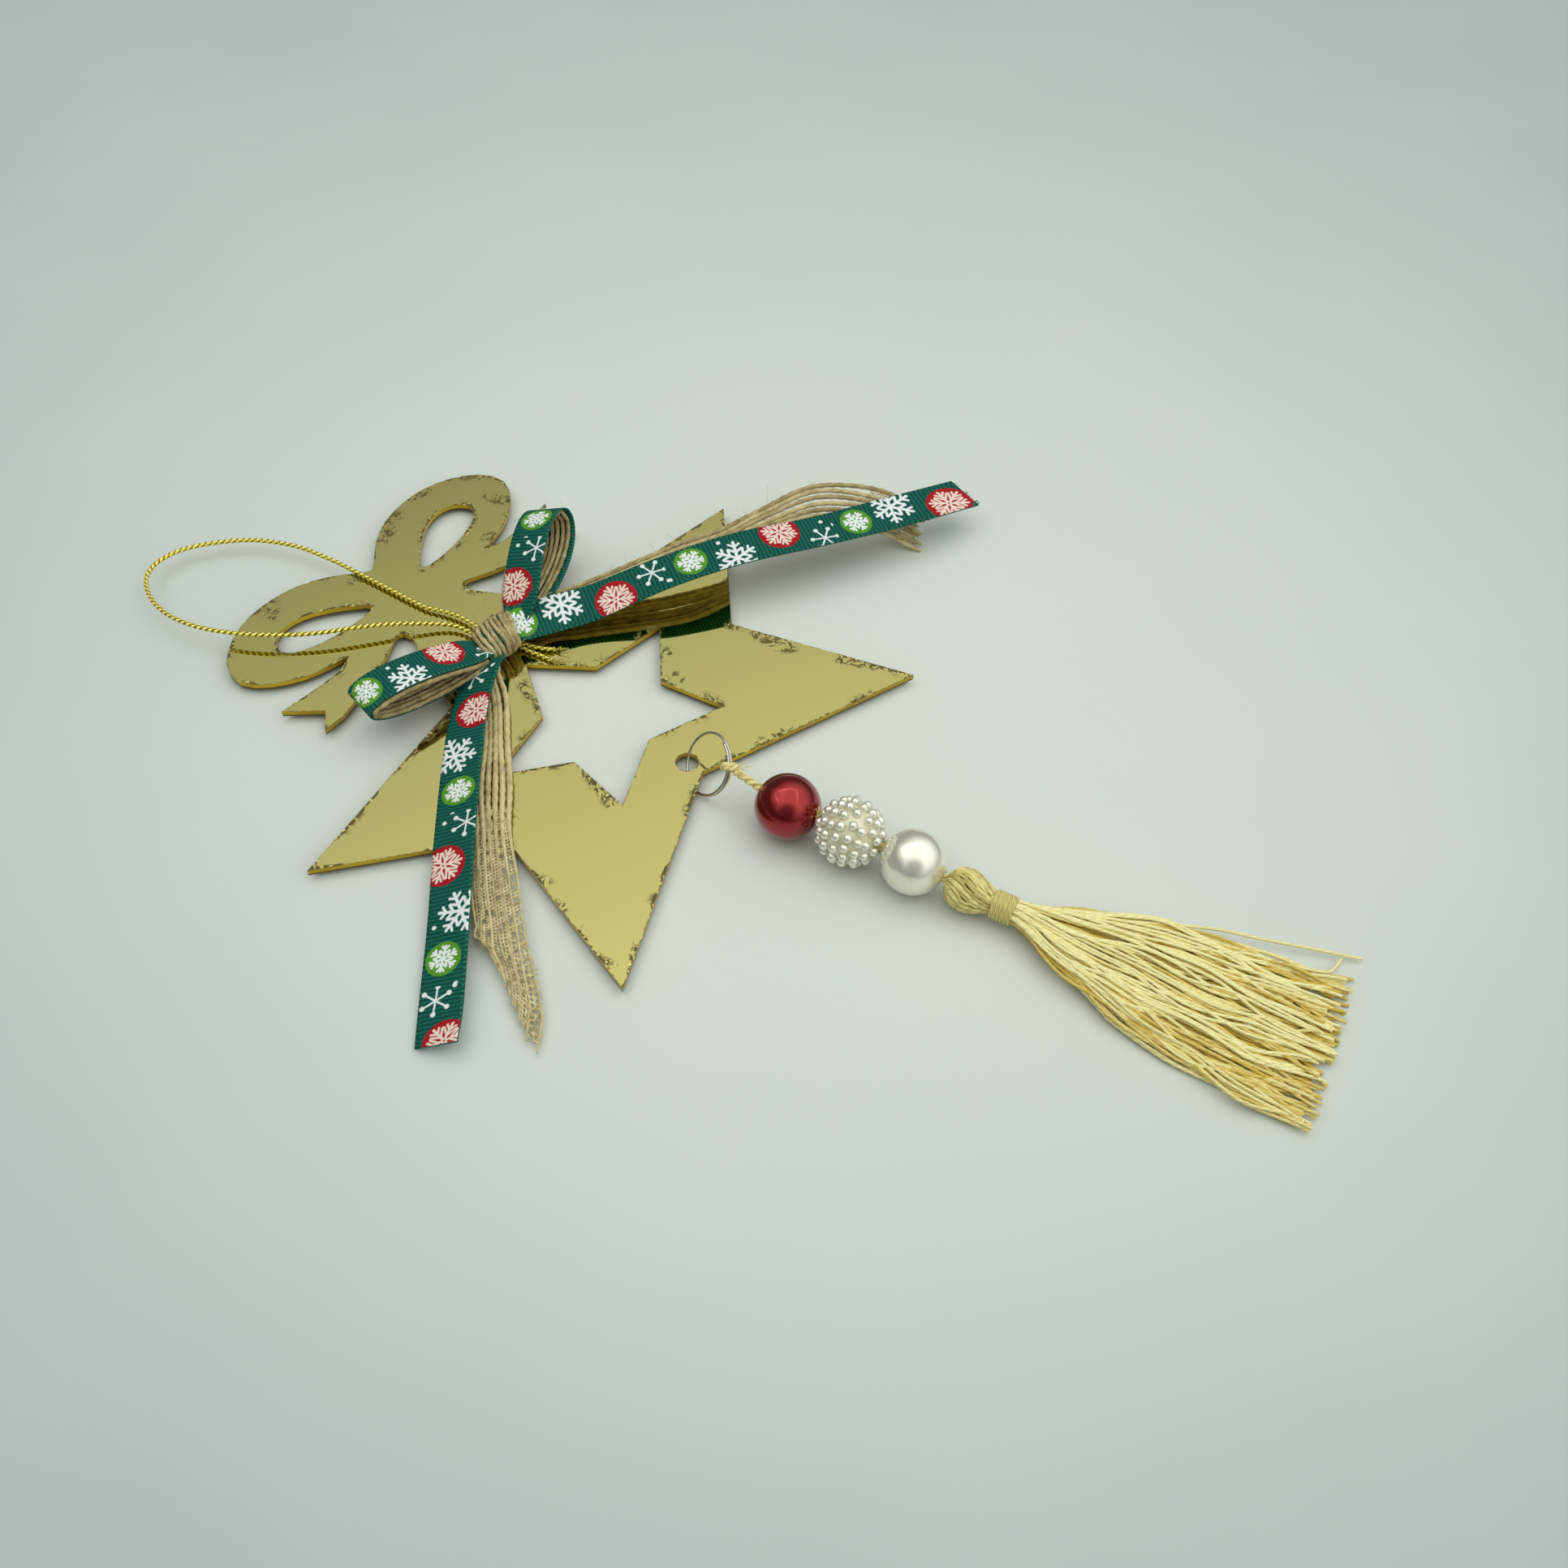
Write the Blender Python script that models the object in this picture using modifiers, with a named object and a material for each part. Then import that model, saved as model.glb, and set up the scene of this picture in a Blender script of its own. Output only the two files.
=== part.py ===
"""Acrylic star ornament, lying on its back.

A star and bow cut from one gold mirror acrylic sheet, with a tied bow of two ribbons on its
front, a hanging cord, and a split ring that holds three beads and a tassel.

Metres, +Z up. The origin is on the sheet's back face, behind the bow's knot. +Y points to the
top of the ornament as it hangs, +X to its right, and +Z out of its front.
"""

from math import asin, cos, pi, radians, sin, sqrt

import bmesh
import bpy
from mathutils import Matrix, Vector

MM = 0.001

# Gaps
CLEARANCE = 0.3 * MM

# Acrylic sheet
PLATE_THICKNESS = 1.5 * MM
STAR_SPAN = 139.0 * MM
CUTOUT_SPAN = 56.0 * MM
BOW_SPAN = 86.8 * MM
KNOT_ABOVE_STAR_CENTRE = 26.6 * MM
HOLE_DIAMETER = 5.0 * MM
HOLE_BRIDGE = 1.95 * MM

# Split ring
RING_DIAMETER = 13.5 * MM
RING_WIRE = 0.6 * MM
RING_PITCH = 0.72 * MM
RING_START_DEG = 95.0
RING_TURNS = 1.4
RING_TIE_DEG = 141.0

# Ribbons
RIBBON_WIDTH = 9.5 * MM
RIBBON_THICKNESS = 0.5 * MM
JUTE_WIDTH = 9.4 * MM
JUTE_THICKNESS = 1.0 * MM
KNOT_WIDTH = 12.4 * MM
KNOT_HEIGHT = 7.4 * MM
PINCH_WIDTH = 3.4 * MM
PINCH_THICKNESS = 1.8 * MM

# Cords
HANGING_CORD_DIAMETER = 1.2 * MM
BEAD_CORD_DIAMETER = 1.2 * MM

# Beads, from the ring down
RED_BEAD_DIAMETER = 14.2 * MM
CLUSTER_CORE_DIAMETER = 13.0 * MM
CLUSTER_PEARL_DIAMETER = 2.4 * MM
PEARL_BEAD_DIAMETER = 14.0 * MM
BEAD_GAP = 0.6 * MM

# Tassel
TASSEL_LENGTH = 82.0 * MM
TASSEL_HEAD_DIAMETER = 9.2 * MM
TASSEL_NECK_DIAMETER = 5.0 * MM
TASSEL_NECK_LENGTH = 6.0 * MM
TASSEL_SPREAD = 32.6 * MM
WRAP_THICKNESS = 0.7 * MM

# The wire that passes beneath the sheet holds it clear of the table
TABLE_Z = -(RING_WIRE + 2.0 * CLEARANCE)
STAR_CENTRE = Vector((0.0, -KNOT_ABOVE_STAR_CENTRE))

# Corners of the star's right half, as shares of its span, from the crotch up to the shoulder
CROTCH = (0.0, -0.233)
STAR_HALF = [CROTCH, (0.373, -0.381), (0.280, -0.0755), (0.500, 0.110), (0.140, 0.165)]
# Corners of the cut-out's right half, as shares of its span, from its lower notch to its top
CUTOUT_HALF = [
    (0.0, -0.311), (0.314, -0.436), (0.265, -0.154), (0.500, 0.041), (0.164, 0.098), (0.0, 0.332),
]
# The bow's right half, as shares of its span, measured from the tip of the star's top point
STAR_TOP = 0.338
NECK = [(0.157, -0.109), (0.111, -0.023)]
TAIL_ROOT = [(0.118, 0.002), (0.127, 0.007), (0.140, 0.006)]
TAIL_END = [(0.207, -0.025), (0.346, -0.068), (0.415, -0.084), (0.476, -0.083),
            (0.431, -0.035), (0.500, 0.048), (0.380, 0.036), (0.311, 0.035), (0.259, 0.055)]
LOOP_EDGE = [(0.334, 0.072), (0.403, 0.102), (0.472, 0.159), (0.498, 0.224), (0.464, 0.292),
             (0.388, 0.343), (0.294, 0.366), (0.184, 0.355), (0.097, 0.315), (0.025, 0.254)]
LOOP_VALLEY = (0.0, 0.237)
# The opening in the bow's right loop, shares of the same span
TEARDROP = [(0.093, 0.137), (0.127, 0.177), (0.166, 0.210), (0.212, 0.241), (0.257, 0.258),
            (0.300, 0.260), (0.332, 0.247), (0.353, 0.222), (0.358, 0.202), (0.346, 0.180),
            (0.323, 0.164), (0.282, 0.147), (0.228, 0.134), (0.150, 0.127)]

# Ribbon tails: (across, up, height of the middle above the sheet's front, roll in degrees),
# from the knot outwards, in millimetres. A roll lifts the tail's left side, seen from the knot.
GREEN_RIGHT_TAIL = [
    (4.5, -1.5, 4.6, 14), (13.2, -5.9, 4.4, 16), (21.0, -10.6, 4.9, 12), (35.8, -19.8, 8.6, 4),
    (51.9, -29.6, 10.2, 5), (68.4, -40.0, 9.4, 3), (86.9, -49.9, 8.0, 8), (106.4, -58.6, 5.5, 6),
]
GREEN_DOWN_TAIL = [
    (-4.0, -2.2, 5.0, 26), (-10.6, -4.9, 4.6, 28), (-20.0, -10.0, 3.4, 25), (-29.0, -16.4, 2.7, 22),
    (-45.9, -30.1, 2.6, 22), (-61.5, -43.0, 1.2, 23), (-76.1, -54.7, -0.1, 20),
    (-82.6, -59.8, 0.3, 26),
]
JUTE_RIGHT_TAIL = [
    (3.0, 0.5, 3.0, 0), (13.0, -2.2, 3.2, 4), (21.0, -7.6, 3.7, 4), (40.0, -18.6, 7.8, 2),
    (53.4, -24.6, 8.8, 2), (65.0, -28.6, 9.2, 4), (77.5, -35.0, 9.4, 20), (87.6, -45.8, 5.6, 38),
    (92.6, -55.0, 0.4, 30),
]
JUTE_DOWN_TAIL = [
    (-3.5, -0.5, 3.0, 0), (-9.1, -3.6, 2.2, 2), (-14.6, -10.3, 1.4, 3), (-21.1, -16.7, 1.2, 3),
    (-37.4, -31.5, 1.2, 3), (-48.4, -42.9, 0.7, 3), (-58.5, -54.4, -0.2, 3),
    (-66.0, -65.0, -0.9, 2), (-72.4, -73.8, -1.7, 0),
]
# Where each jute tail starts to narrow, as a share of its length, and its width at the end
JUTE_RIGHT_TAPER = (0.80, 0.62)
JUTE_DOWN_TAPER = (0.62, 0.22)
TAIL_SAMPLES = 23

# Ribbon loops: the direction from the knot, the rise along it, the roll of the ribbon's width,
# the reach and the open height, how pointed its root is, where it leaves the knot, and how far the
# jute lining stands out at the seen side
UPPER_LOOP = {"turn": 25.7, "rise": 10.3, "roll": -20.0, "reach": 38.8, "height": 12.9,
              "point": 1.4, "root": (0.0, -3.5, -1.1), "offset": -0.8}
LEFT_LOOP = {"turn": 165.3, "rise": 6.0, "roll": 5.0, "reach": 39.0, "height": 7.6,
             "point": 0.9, "root": (1.9, -3.0, -0.1), "offset": -0.7}
LOOP_START = 5.6 * MM
# How narrow each ribbon is drawn where a loop meets the knot, and how far out it is full width
GREEN_GATHER = 0.42
JUTE_GATHER = 0.85
GATHER_LENGTH = 15.0 * MM
LOOP_SAMPLES = 24
KNOT_HEIGHT_ABOVE_PLATE = 3.85 * MM

# The hanging cord's route: (across, up, height above the sheet's front), in millimetres
HANGING_CORD = [
    (-1.2, 7.4, 1.25), (-1.7, 11.2, 1.4), (-3.6, 14.6, 1.6), (-7.0, 18.3, 2.1), (-11.6, 22.8, 2.8),
    (-17.1, 27.5, 3.2), (-22.6, 32.1, 3.2), (-27.6, 37.2, 3.2), (-34.1, 45.9, 3.2),
    (-38.8, 56.4, 2.7), (-40.0, 66.4, 2.3), (-37.4, 75.2, 1.9), (-32.3, 80.2, 1.5),
    (-24.8, 80.5, 1.1), (-17.3, 76.4, 0.9), (-10.4, 69.3, 0.9), (-5.9, 60.5, 0.9),
    (-4.0, 51.1, 0.95), (-3.1, 41.9, 0.95), (-2.4, 32.6, 0.95), (-1.6, 22.4, 0.95),
    (-0.2, 18.0, 1.05), (0.9, 13.6, 1.2), (1.1, 9.5, 1.25), (1.0, 7.4, 1.3),
]
HANGING_CORD_SAMPLES = 58

# The string of beads and the tassel, from the middle of the ring: angles from +X
STRING_TURN_DEG = -81.3
TASSEL_TURN_DEG = -80.5
RING_TO_BEAD = 20.6 * MM
BEAD_STRING_SHIFT = 2.7 * MM


def clear_scene():
    """Take every object out of the file."""
    for old in list(bpy.data.objects):
        bpy.data.objects.remove(old, do_unlink=True)


def collection(name):
    """A new collection under the scene's own."""
    made = bpy.data.collections.new(name)
    bpy.context.scene.collection.children.link(made)
    return made


clear_scene()
PARTS = collection("acrylic_star_ornament")
CUTTERS = collection("cutters")


def material(name, color, roughness, metallic=0.0, alpha=1.0):
    """A Principled material with plain values."""
    made = bpy.data.materials.new(name)
    made.use_nodes = True
    shader = made.node_tree.nodes["Principled BSDF"]
    shader.inputs["Base Color"].default_value = (*color, 1.0)
    shader.inputs["Roughness"].default_value = roughness
    shader.inputs["Metallic"].default_value = metallic
    shader.inputs["Alpha"].default_value = alpha
    return made


GOLD_ACRYLIC = material("gold_mirror_acrylic", (0.50, 0.42, 0.12), 0.08, 1.0)
STEEL = material("ring_steel", (0.62, 0.61, 0.58), 0.25, 1.0)
GREEN_CLOTH = material("green_grosgrain", (0.005, 0.12, 0.09), 0.75)
JUTE = material("jute_strands", (0.50, 0.36, 0.19), 0.95)
GOLD_THREAD = material("gold_thread", (0.75, 0.58, 0.08), 0.35, 0.8)
CREAM_COTTON = material("cream_cotton", (0.78, 0.68, 0.45), 0.9)
RED_PEARL = material("red_pearl_coat", (0.32, 0.01, 0.02), 0.2, 0.3)
IVORY_PEARL = material("ivory_pearl_coat", (0.85, 0.82, 0.72), 0.2)


def add(name, data, paint, group=PARTS):
    """An object of this mesh or curve, with its material, in a collection."""
    made = bpy.data.objects.new(name, data)
    if paint:
        data.materials.append(paint)
    group.objects.link(made)
    return made


def as_tool(made):
    """Mark an object that only cuts or joins, so that it isn't part of the model."""
    made.hide_render = True
    made.display_type = "WIRE"
    return made


def combine(target, tool, operation):
    """Cut or join a mesh object with a tool object."""
    step = target.modifiers.new(operation.lower(), "BOOLEAN")
    step.operation = operation
    step.object = tool


def mesh_from(made, group=PARTS):
    """A mesh object in place of a curve object or of an object with modifiers."""
    evaluated = made.evaluated_get(bpy.context.evaluated_depsgraph_get())
    data = bpy.data.meshes.new_from_object(evaluated)
    shell = bmesh.new()
    shell.from_mesh(data)
    bmesh.ops.remove_doubles(shell, verts=shell.verts, dist=0.00001 * MM)
    shell.to_mesh(data)
    shell.free()
    name = made.name
    place = made.matrix_world.copy()
    bpy.data.objects.remove(made, do_unlink=True)
    solid = bpy.data.objects.new(name, data)
    solid.matrix_world = place
    group.objects.link(solid)
    return solid


def keep_largest(made):
    """Take off the crumbs that a cut left beside a mesh object's main body."""
    shell = bmesh.new()
    shell.from_mesh(made.data)
    bodies = []
    unseen = set(shell.verts)
    while unseen:
        body = set()
        edge = [unseen.pop()]
        while edge:
            vert = edge.pop()
            body.add(vert)
            near = {line.other_vert(vert) for line in vert.link_edges} & unseen
            unseen -= near
            edge.extend(near)
        bodies.append(body)
    bodies.sort(key=len)
    for body in bodies[:-1]:
        bmesh.ops.delete(shell, geom=list(body), context="VERTS")
    shell.to_mesh(made.data)
    shell.free()


def smooth(made, angle=40.0):
    """Shade round faces smooth and keep corners sharp."""
    made.data.shade_smooth()
    made.data.set_sharp_from_angle(angle=radians(angle))


def flat_outline(name, outlines, thickness, paint, group=PARTS):
    """A filled 2D curve of closed outlines, the first the edge and the others its openings."""
    curve = bpy.data.curves.new(name, "CURVE")
    curve.dimensions = "2D"
    curve.fill_mode = "BOTH"
    curve.extrude = thickness / 2.0
    for points in outlines:
        spline = curve.splines.new("POLY")
        spline.points.add(len(points) - 1)
        for spot, point in zip(spline.points, points):
            spot.co = (point[0], point[1], 0.0, 1.0)
        spline.use_cyclic_u = True
    return add(name, curve, paint, group)


def tube(name, points, radius, paint, group=PARTS, resolution=2, closed=False):
    """A round tube with filled ends along these points."""
    curve = bpy.data.curves.new(name, "CURVE")
    curve.dimensions = "3D"
    curve.bevel_depth = radius
    curve.bevel_resolution = resolution
    curve.use_fill_caps = True
    spline = curve.splines.new("POLY")
    spline.points.add(len(points) - 1)
    for spot, point in zip(spline.points, points):
        spot.co = (*point, 1.0)
    spline.use_cyclic_u = closed
    return add(name, curve, paint, group)


def curve_through(points, count):
    """Points read evenly from a smooth curve through the given ones."""
    ends = [points[0] * 2.0 - points[1], *points, points[-1] * 2.0 - points[-2]]
    fine = []
    per_span = 12
    for index in range(len(points) - 1):
        a, b, c, d = ends[index:index + 4]
        for step in range(per_span):
            t = step / per_span
            fine.append(0.5 * (2.0 * b + (c - a) * t + (2.0 * a - 5.0 * b + 4.0 * c - d) * t * t
                               + (3.0 * b - a - 3.0 * c + d) * t ** 3))
    fine.append(points[-1].copy())
    along = [0.0]
    for first, second in zip(fine, fine[1:]):
        along.append(along[-1] + (second.to_3d() - first.to_3d()).length)
    even = []
    index = 0
    for step in range(count):
        goal = along[-1] * step / (count - 1)
        while index < len(fine) - 2 and along[index + 1] < goal:
            index += 1
        share = (goal - along[index]) / (along[index + 1] - along[index])
        even.append(fine[index].lerp(fine[index + 1], min(max(share, 0.0), 1.0)))
    return even


def both_sides(half):
    """A closed outline from its right half: the half and its mirror image."""
    left = [Vector((-p.x, p.y)) for p in reversed(half) if p.x > 0.01 * MM]
    return half + left


def star_point(share, span):
    """A point of the star or its cut-out, from its shares of the span."""
    return STAR_CENTRE + Vector(share) * span


def bow_point(share):
    """A point of the bow, from its shares of the bow's span."""
    return star_point((0.0, STAR_TOP), STAR_SPAN) + Vector(share) * BOW_SPAN


def circle(centre, radius, count):
    """Points around a circle."""
    return [centre + Vector((cos(2 * pi * k / count), sin(2 * pi * k / count))) * radius
            for k in range(count)]


def closed_curve(points, count):
    """A closed smooth curve through the points, read at count places."""
    looped = [p.copy() for p in points]
    size = len(looped)
    result = []
    for step in range(count):
        place = step * size / count
        index = int(place)
        t = place - index
        a, b, c, d = (looped[(index + k) % size] for k in (-1, 0, 1, 2))
        result.append(0.5 * (2.0 * b + (c - a) * t + (2.0 * a - 5.0 * b + 4.0 * c - d) * t * t
                             + (3.0 * b - a - 3.0 * c + d) * t ** 3))
    return result


def hole_centre():
    """The ring's hole, a bridge away from the star's crotch."""
    return star_point(CROTCH, STAR_SPAN) + Vector((0.0, HOLE_BRIDGE + HOLE_DIAMETER / 2.0))


def star_plate():
    """The sheet: the star and the bow's outline, the star cut-out, two teardrops and the hole."""
    half = [star_point(share, STAR_SPAN) for share in STAR_HALF]
    half += [bow_point(share) for share in NECK + TAIL_ROOT + TAIL_END]
    loop = [bow_point(TAIL_END[-1])] + [bow_point(share) for share in LOOP_EDGE]
    half += curve_through(loop, 22)[1:]
    half.append(bow_point(LOOP_VALLEY))
    cutout = both_sides([star_point(share, CUTOUT_SPAN) for share in CUTOUT_HALF])
    right = closed_curve([bow_point(share) for share in TEARDROP], 28)
    left = [Vector((-p.x, p.y)) for p in reversed(right)]
    hole = circle(hole_centre(), HOLE_DIAMETER / 2.0, 20)
    plate = flat_outline("star_plate", [both_sides(half), cutout, right, left, hole],
                         PLATE_THICKNESS, GOLD_ACRYLIC)
    plate.location.z = PLATE_THICKNESS / 2.0


def above_plate(point):
    """A point given in millimetres across, up, and above the sheet's front."""
    return Vector((point[0] * MM, point[1] * MM, PLATE_THICKNESS + point[2] * MM))


def ring_frame():
    """The split ring's centre and its three directions: two in its plane and its axis."""
    radius = RING_DIAMETER / 2.0
    flat = Vector((0.44, 0.90, 0.0)).normalized()
    steep = Vector((0.50, -0.25, 0.83))
    steep = (steep - flat * steep.dot(flat)).normalized()
    axis = flat.cross(steep)
    height = TABLE_Z + RING_WIRE / 2.0 + radius * steep.z
    crossing = asin(min(max((PLATE_THICKNESS / 2.0 - height) / (radius * steep.z), -1.0), 1.0))
    reach = flat * cos(crossing) + steep * sin(crossing)
    hole = hole_centre()
    centre = Vector((hole.x - reach.x * radius, hole.y - reach.y * radius, height))
    return centre, flat, steep, axis


def ring_point(degrees):
    """A point on the ring's wire, which rises slowly along the axis as it turns."""
    centre, flat, steep, axis = ring_frame()
    angle = radians(degrees)
    lift = RING_PITCH * (degrees - 270.0) / 360.0
    return centre + (flat * cos(angle) + steep * sin(angle)) * (RING_DIAMETER / 2.0) + axis * lift


def split_ring():
    """The steel ring: a coil of a little over one turn, through the sheet's hole."""
    steps = round(RING_TURNS * 30)
    points = [ring_point(RING_START_DEG + RING_TURNS * 360.0 * k / steps) for k in range(steps + 1)]
    tube("split_ring", points, RING_WIRE / 2.0, STEEL)


def ribbon_sides(route, width, samples):
    """Left and right edge points of a ribbon along its route."""
    path = [above_plate(point[:3]) for point in route]
    middles = curve_through(path, samples)
    rolls = curve_through([Vector((k, point[3], 0.0)) for k, point in enumerate(route)], 100)
    lengths = [0.0]
    for first, second in zip(path, path[1:]):
        lengths.append(lengths[-1] + (second - first).length)
    edges = []
    for index, middle in enumerate(middles):
        ahead = middles[min(index + 1, samples - 1)] - middles[max(index - 1, 0)]
        ahead.normalize()
        goal = lengths[-1] * index / (samples - 1)
        span = max(k for k in range(len(lengths) - 1) if lengths[k] <= goal + 1e-9)
        place = span + (goal - lengths[span]) / (lengths[span + 1] - lengths[span])
        roll = radians(rolls[round(place / (len(route) - 1) * 99)].y)
        level = Vector((-ahead.y, ahead.x, 0.0)).normalized()
        across = Matrix.Rotation(roll, 3, ahead) @ level
        edges.append((middle + across * width / 2.0, middle - across * width / 2.0))
    return edges


def strip(name, edges, thickness, paint, group):
    """A thin solid between two edges: an open strip of faces with Solidify."""
    shell = bmesh.new()
    rows = [(shell.verts.new(left), shell.verts.new(right)) for left, right in edges]
    for (a, b), (c, d) in zip(rows, rows[1:]):
        shell.faces.new((a, b, d, c))
    data = bpy.data.meshes.new(name)
    shell.to_mesh(data)
    shell.free()
    made = add(name, data, paint, group)
    thicken = made.modifiers.new("thickness", "SOLIDIFY")
    thicken.thickness = thickness
    thicken.offset = 0.0
    return made


def tail(name, route, width, thickness, paint, cut, grow=0.0, taper=(1.0, 1.0)):
    """A ribbon tail, with its end cut at a slant; grow makes it larger all round, as a cutter."""
    edges = ribbon_sides(route, width, TAIL_SAMPLES)
    left, right = edges[-1]
    ahead = ((left + right) - (edges[-2][0] + edges[-2][1])).normalized()
    edges[-1] = (left + ahead * (grow - cut), right + ahead * (grow + cut))
    fat = []
    for index, (left, right) in enumerate(edges):
        past = max((index / (len(edges) - 1) - taper[0]) / max(1.0 - taper[0], 0.01), 0.0)
        middle = (left + right) / 2.0
        side = (left - middle) * (1.0 + past * (taper[1] - 1.0))
        side += side.normalized() * grow
        fat.append((middle + side, middle - side))
    return as_tool(strip(name, fat, thickness + 2.0 * grow, paint, CUTTERS))


def knot_centre():
    """The middle of the bow's knot."""
    return Vector((0.0, 0.0, PLATE_THICKNESS + KNOT_HEIGHT_ABOVE_PLATE))


def loop_matrix(loop):
    """From a loop's flat teardrop, in its own X and Y, to its place at the knot."""
    turn = Matrix.Rotation(radians(loop["turn"]), 4, "Z")
    rise = Matrix.Rotation(radians(-loop["rise"]), 4, "Y")
    roll = Matrix.Rotation(radians(loop["roll"]), 4, "X")
    stand = Matrix.Rotation(radians(90.0), 4, "X")
    root = Matrix.Translation(knot_centre() + Vector(loop["root"]) * MM)
    return root @ turn @ rise @ roll @ stand


def teardrop(start, reach, height, point, count):
    """A teardrop with its point at start and its round end at reach."""
    points = []
    for step in range(count):
        angle = 2.0 * pi * step / count
        along = start + (reach - start) * (1.0 - cos(angle)) / 2.0
        aside = height / 2.0 * 1.24 * sin(angle) * abs(sin(angle / 2.0)) ** point
        points.append(Vector((along, aside)))
    return points


def gather(data, width, share):
    """Draw a loop's mesh together towards the knot, across its width, but not its margin."""
    for vert in data.vertices:
        along = min(max((vert.co.x - LOOP_START) / (GATHER_LENGTH - LOOP_START), 0.0), 1.0)
        drawn = width / 2.0 * (1.0 - share) * (1.0 - along * (2.0 - along))
        vert.co.z -= drawn if vert.co.z > 0.0 else -drawn


def loop_band(name, loop, inset, thickness, width, offset, paint, start, share):
    """A ribbon's loop: a teardrop outline and the smaller teardrop inside it, extruded."""
    reach = loop["reach"] * MM - inset
    height = loop["height"] * MM - 2.0 * inset
    outer = teardrop(start, reach, height, loop["point"], LOOP_SAMPLES)
    inner = teardrop(start + 5.0 * thickness, reach - thickness, height - 2.0 * thickness,
                     loop["point"], LOOP_SAMPLES)
    made = mesh_from(flat_outline(name, [outer, inner], width, paint, CUTTERS), CUTTERS)
    gather(made.data, RIBBON_WIDTH, share)
    made.matrix_world = loop_matrix(loop) @ Matrix.Translation((0.0, 0.0, offset))
    return as_tool(made)


def pinched_cross(name, grow, paint, group):
    """The green ribbon inside the knot: flat bars from the middle out to its four arms."""
    middle = knot_centre()
    arms = [loop_matrix(loop) @ Vector((LOOP_START + 2.6 * MM, 0.0, 0.0))
            for loop in (UPPER_LOOP, LEFT_LOOP)]
    arms += [curve_through([above_plate(p[:3]) for p in route], 40)[3]
             for route in (GREEN_RIGHT_TAIL, GREEN_DOWN_TAIL)]
    bars = []
    for index, end in enumerate(arms):
        reach = end - middle
        level = Vector((-reach.y, reach.x, 0.0)).normalized() * (PINCH_WIDTH / 2.0 + grow)
        edges = [(middle - reach * 0.2 + level, middle - reach * 0.2 - level),
                 (end + level, end - level)]
        bars.append(strip(f"{name}_{index}", edges, PINCH_THICKNESS + 2.0 * grow, paint, CUTTERS))
    cross = mesh_from(bars[0], group)
    cross.name = name
    for bar in bars[1:]:
        combine(cross, as_tool(bar), "UNION")
    return cross


def green_pieces(name, grow):
    """Tool objects of the green ribbon's loops and tails, larger all round by grow."""
    pieces = [loop_band(f"{name}_{k}", loop, -grow, RIBBON_THICKNESS + 2.0 * grow,
                        RIBBON_WIDTH + 2.0 * grow, 0.0, None, LOOP_START - grow, GREEN_GATHER)
              for k, loop in enumerate((UPPER_LOOP, LEFT_LOOP))]
    pieces.append(tail(f"{name}_right", GREEN_RIGHT_TAIL, RIBBON_WIDTH, RIBBON_THICKNESS, None,
                       1.1 * MM, grow))
    pieces.append(tail(f"{name}_down", GREEN_DOWN_TAIL, RIBBON_WIDTH, RIBBON_THICKNESS, None,
                       -0.5 * MM, grow))
    return pieces


def green_ribbon():
    """The printed green ribbon: two loops and two tails from one knot."""
    made = pinched_cross("green_ribbon", 0.0, GREEN_CLOTH, PARTS)
    for piece in green_pieces("green_piece", 0.0):
        combine(made, piece, "UNION")


def jute_ribbon():
    """The jute ribbon: the knot's wrap, a lining in each loop, and two tails under the green."""
    shell = bmesh.new()
    bmesh.ops.create_uvsphere(shell, u_segments=16, v_segments=10, radius=0.5)
    bmesh.ops.scale(shell, vec=(KNOT_WIDTH, KNOT_WIDTH, KNOT_HEIGHT), verts=shell.verts)
    bmesh.ops.translate(shell, vec=knot_centre(), verts=shell.verts)
    data = bpy.data.meshes.new("jute_ribbon")
    shell.to_mesh(data)
    shell.free()
    made = add("jute_ribbon", data, JUTE)
    for index, loop in enumerate((UPPER_LOOP, LEFT_LOOP)):
        inset = RIBBON_THICKNESS + CLEARANCE
        combine(made, loop_band(f"jute_lining_{index}", loop, inset, JUTE_THICKNESS, JUTE_WIDTH,
                                loop["offset"] * MM, JUTE, 2.0 * MM, JUTE_GATHER), "UNION")
    combine(made, tail("jute_right", JUTE_RIGHT_TAIL, JUTE_WIDTH, JUTE_THICKNESS, JUTE, 1.5 * MM,
                       taper=JUTE_RIGHT_TAPER), "UNION")
    combine(made, tail("jute_down", JUTE_DOWN_TAIL, JUTE_WIDTH, JUTE_THICKNESS, JUTE, -1.0 * MM,
                       taper=JUTE_DOWN_TAPER), "UNION")
    fat_cross = as_tool(pinched_cross("fat_cross", CLEARANCE, None, CUTTERS))
    combine(made, fat_cross, "DIFFERENCE")
    for piece in green_pieces("fat_green", CLEARANCE):
        combine(made, piece, "DIFFERENCE")
    keep_largest(mesh_from(made))


def hanging_cord():
    """The gold cord: up from the knot over the left loop, round, and back down the middle."""
    route = curve_through([above_plate(point) for point in HANGING_CORD], HANGING_CORD_SAMPLES)
    tube("hanging_cord", route, HANGING_CORD_DIAMETER / 2.0, GOLD_THREAD)


def heading(degrees):
    """A level direction."""
    return Vector((cos(radians(degrees)), sin(radians(degrees)), 0.0))


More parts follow.
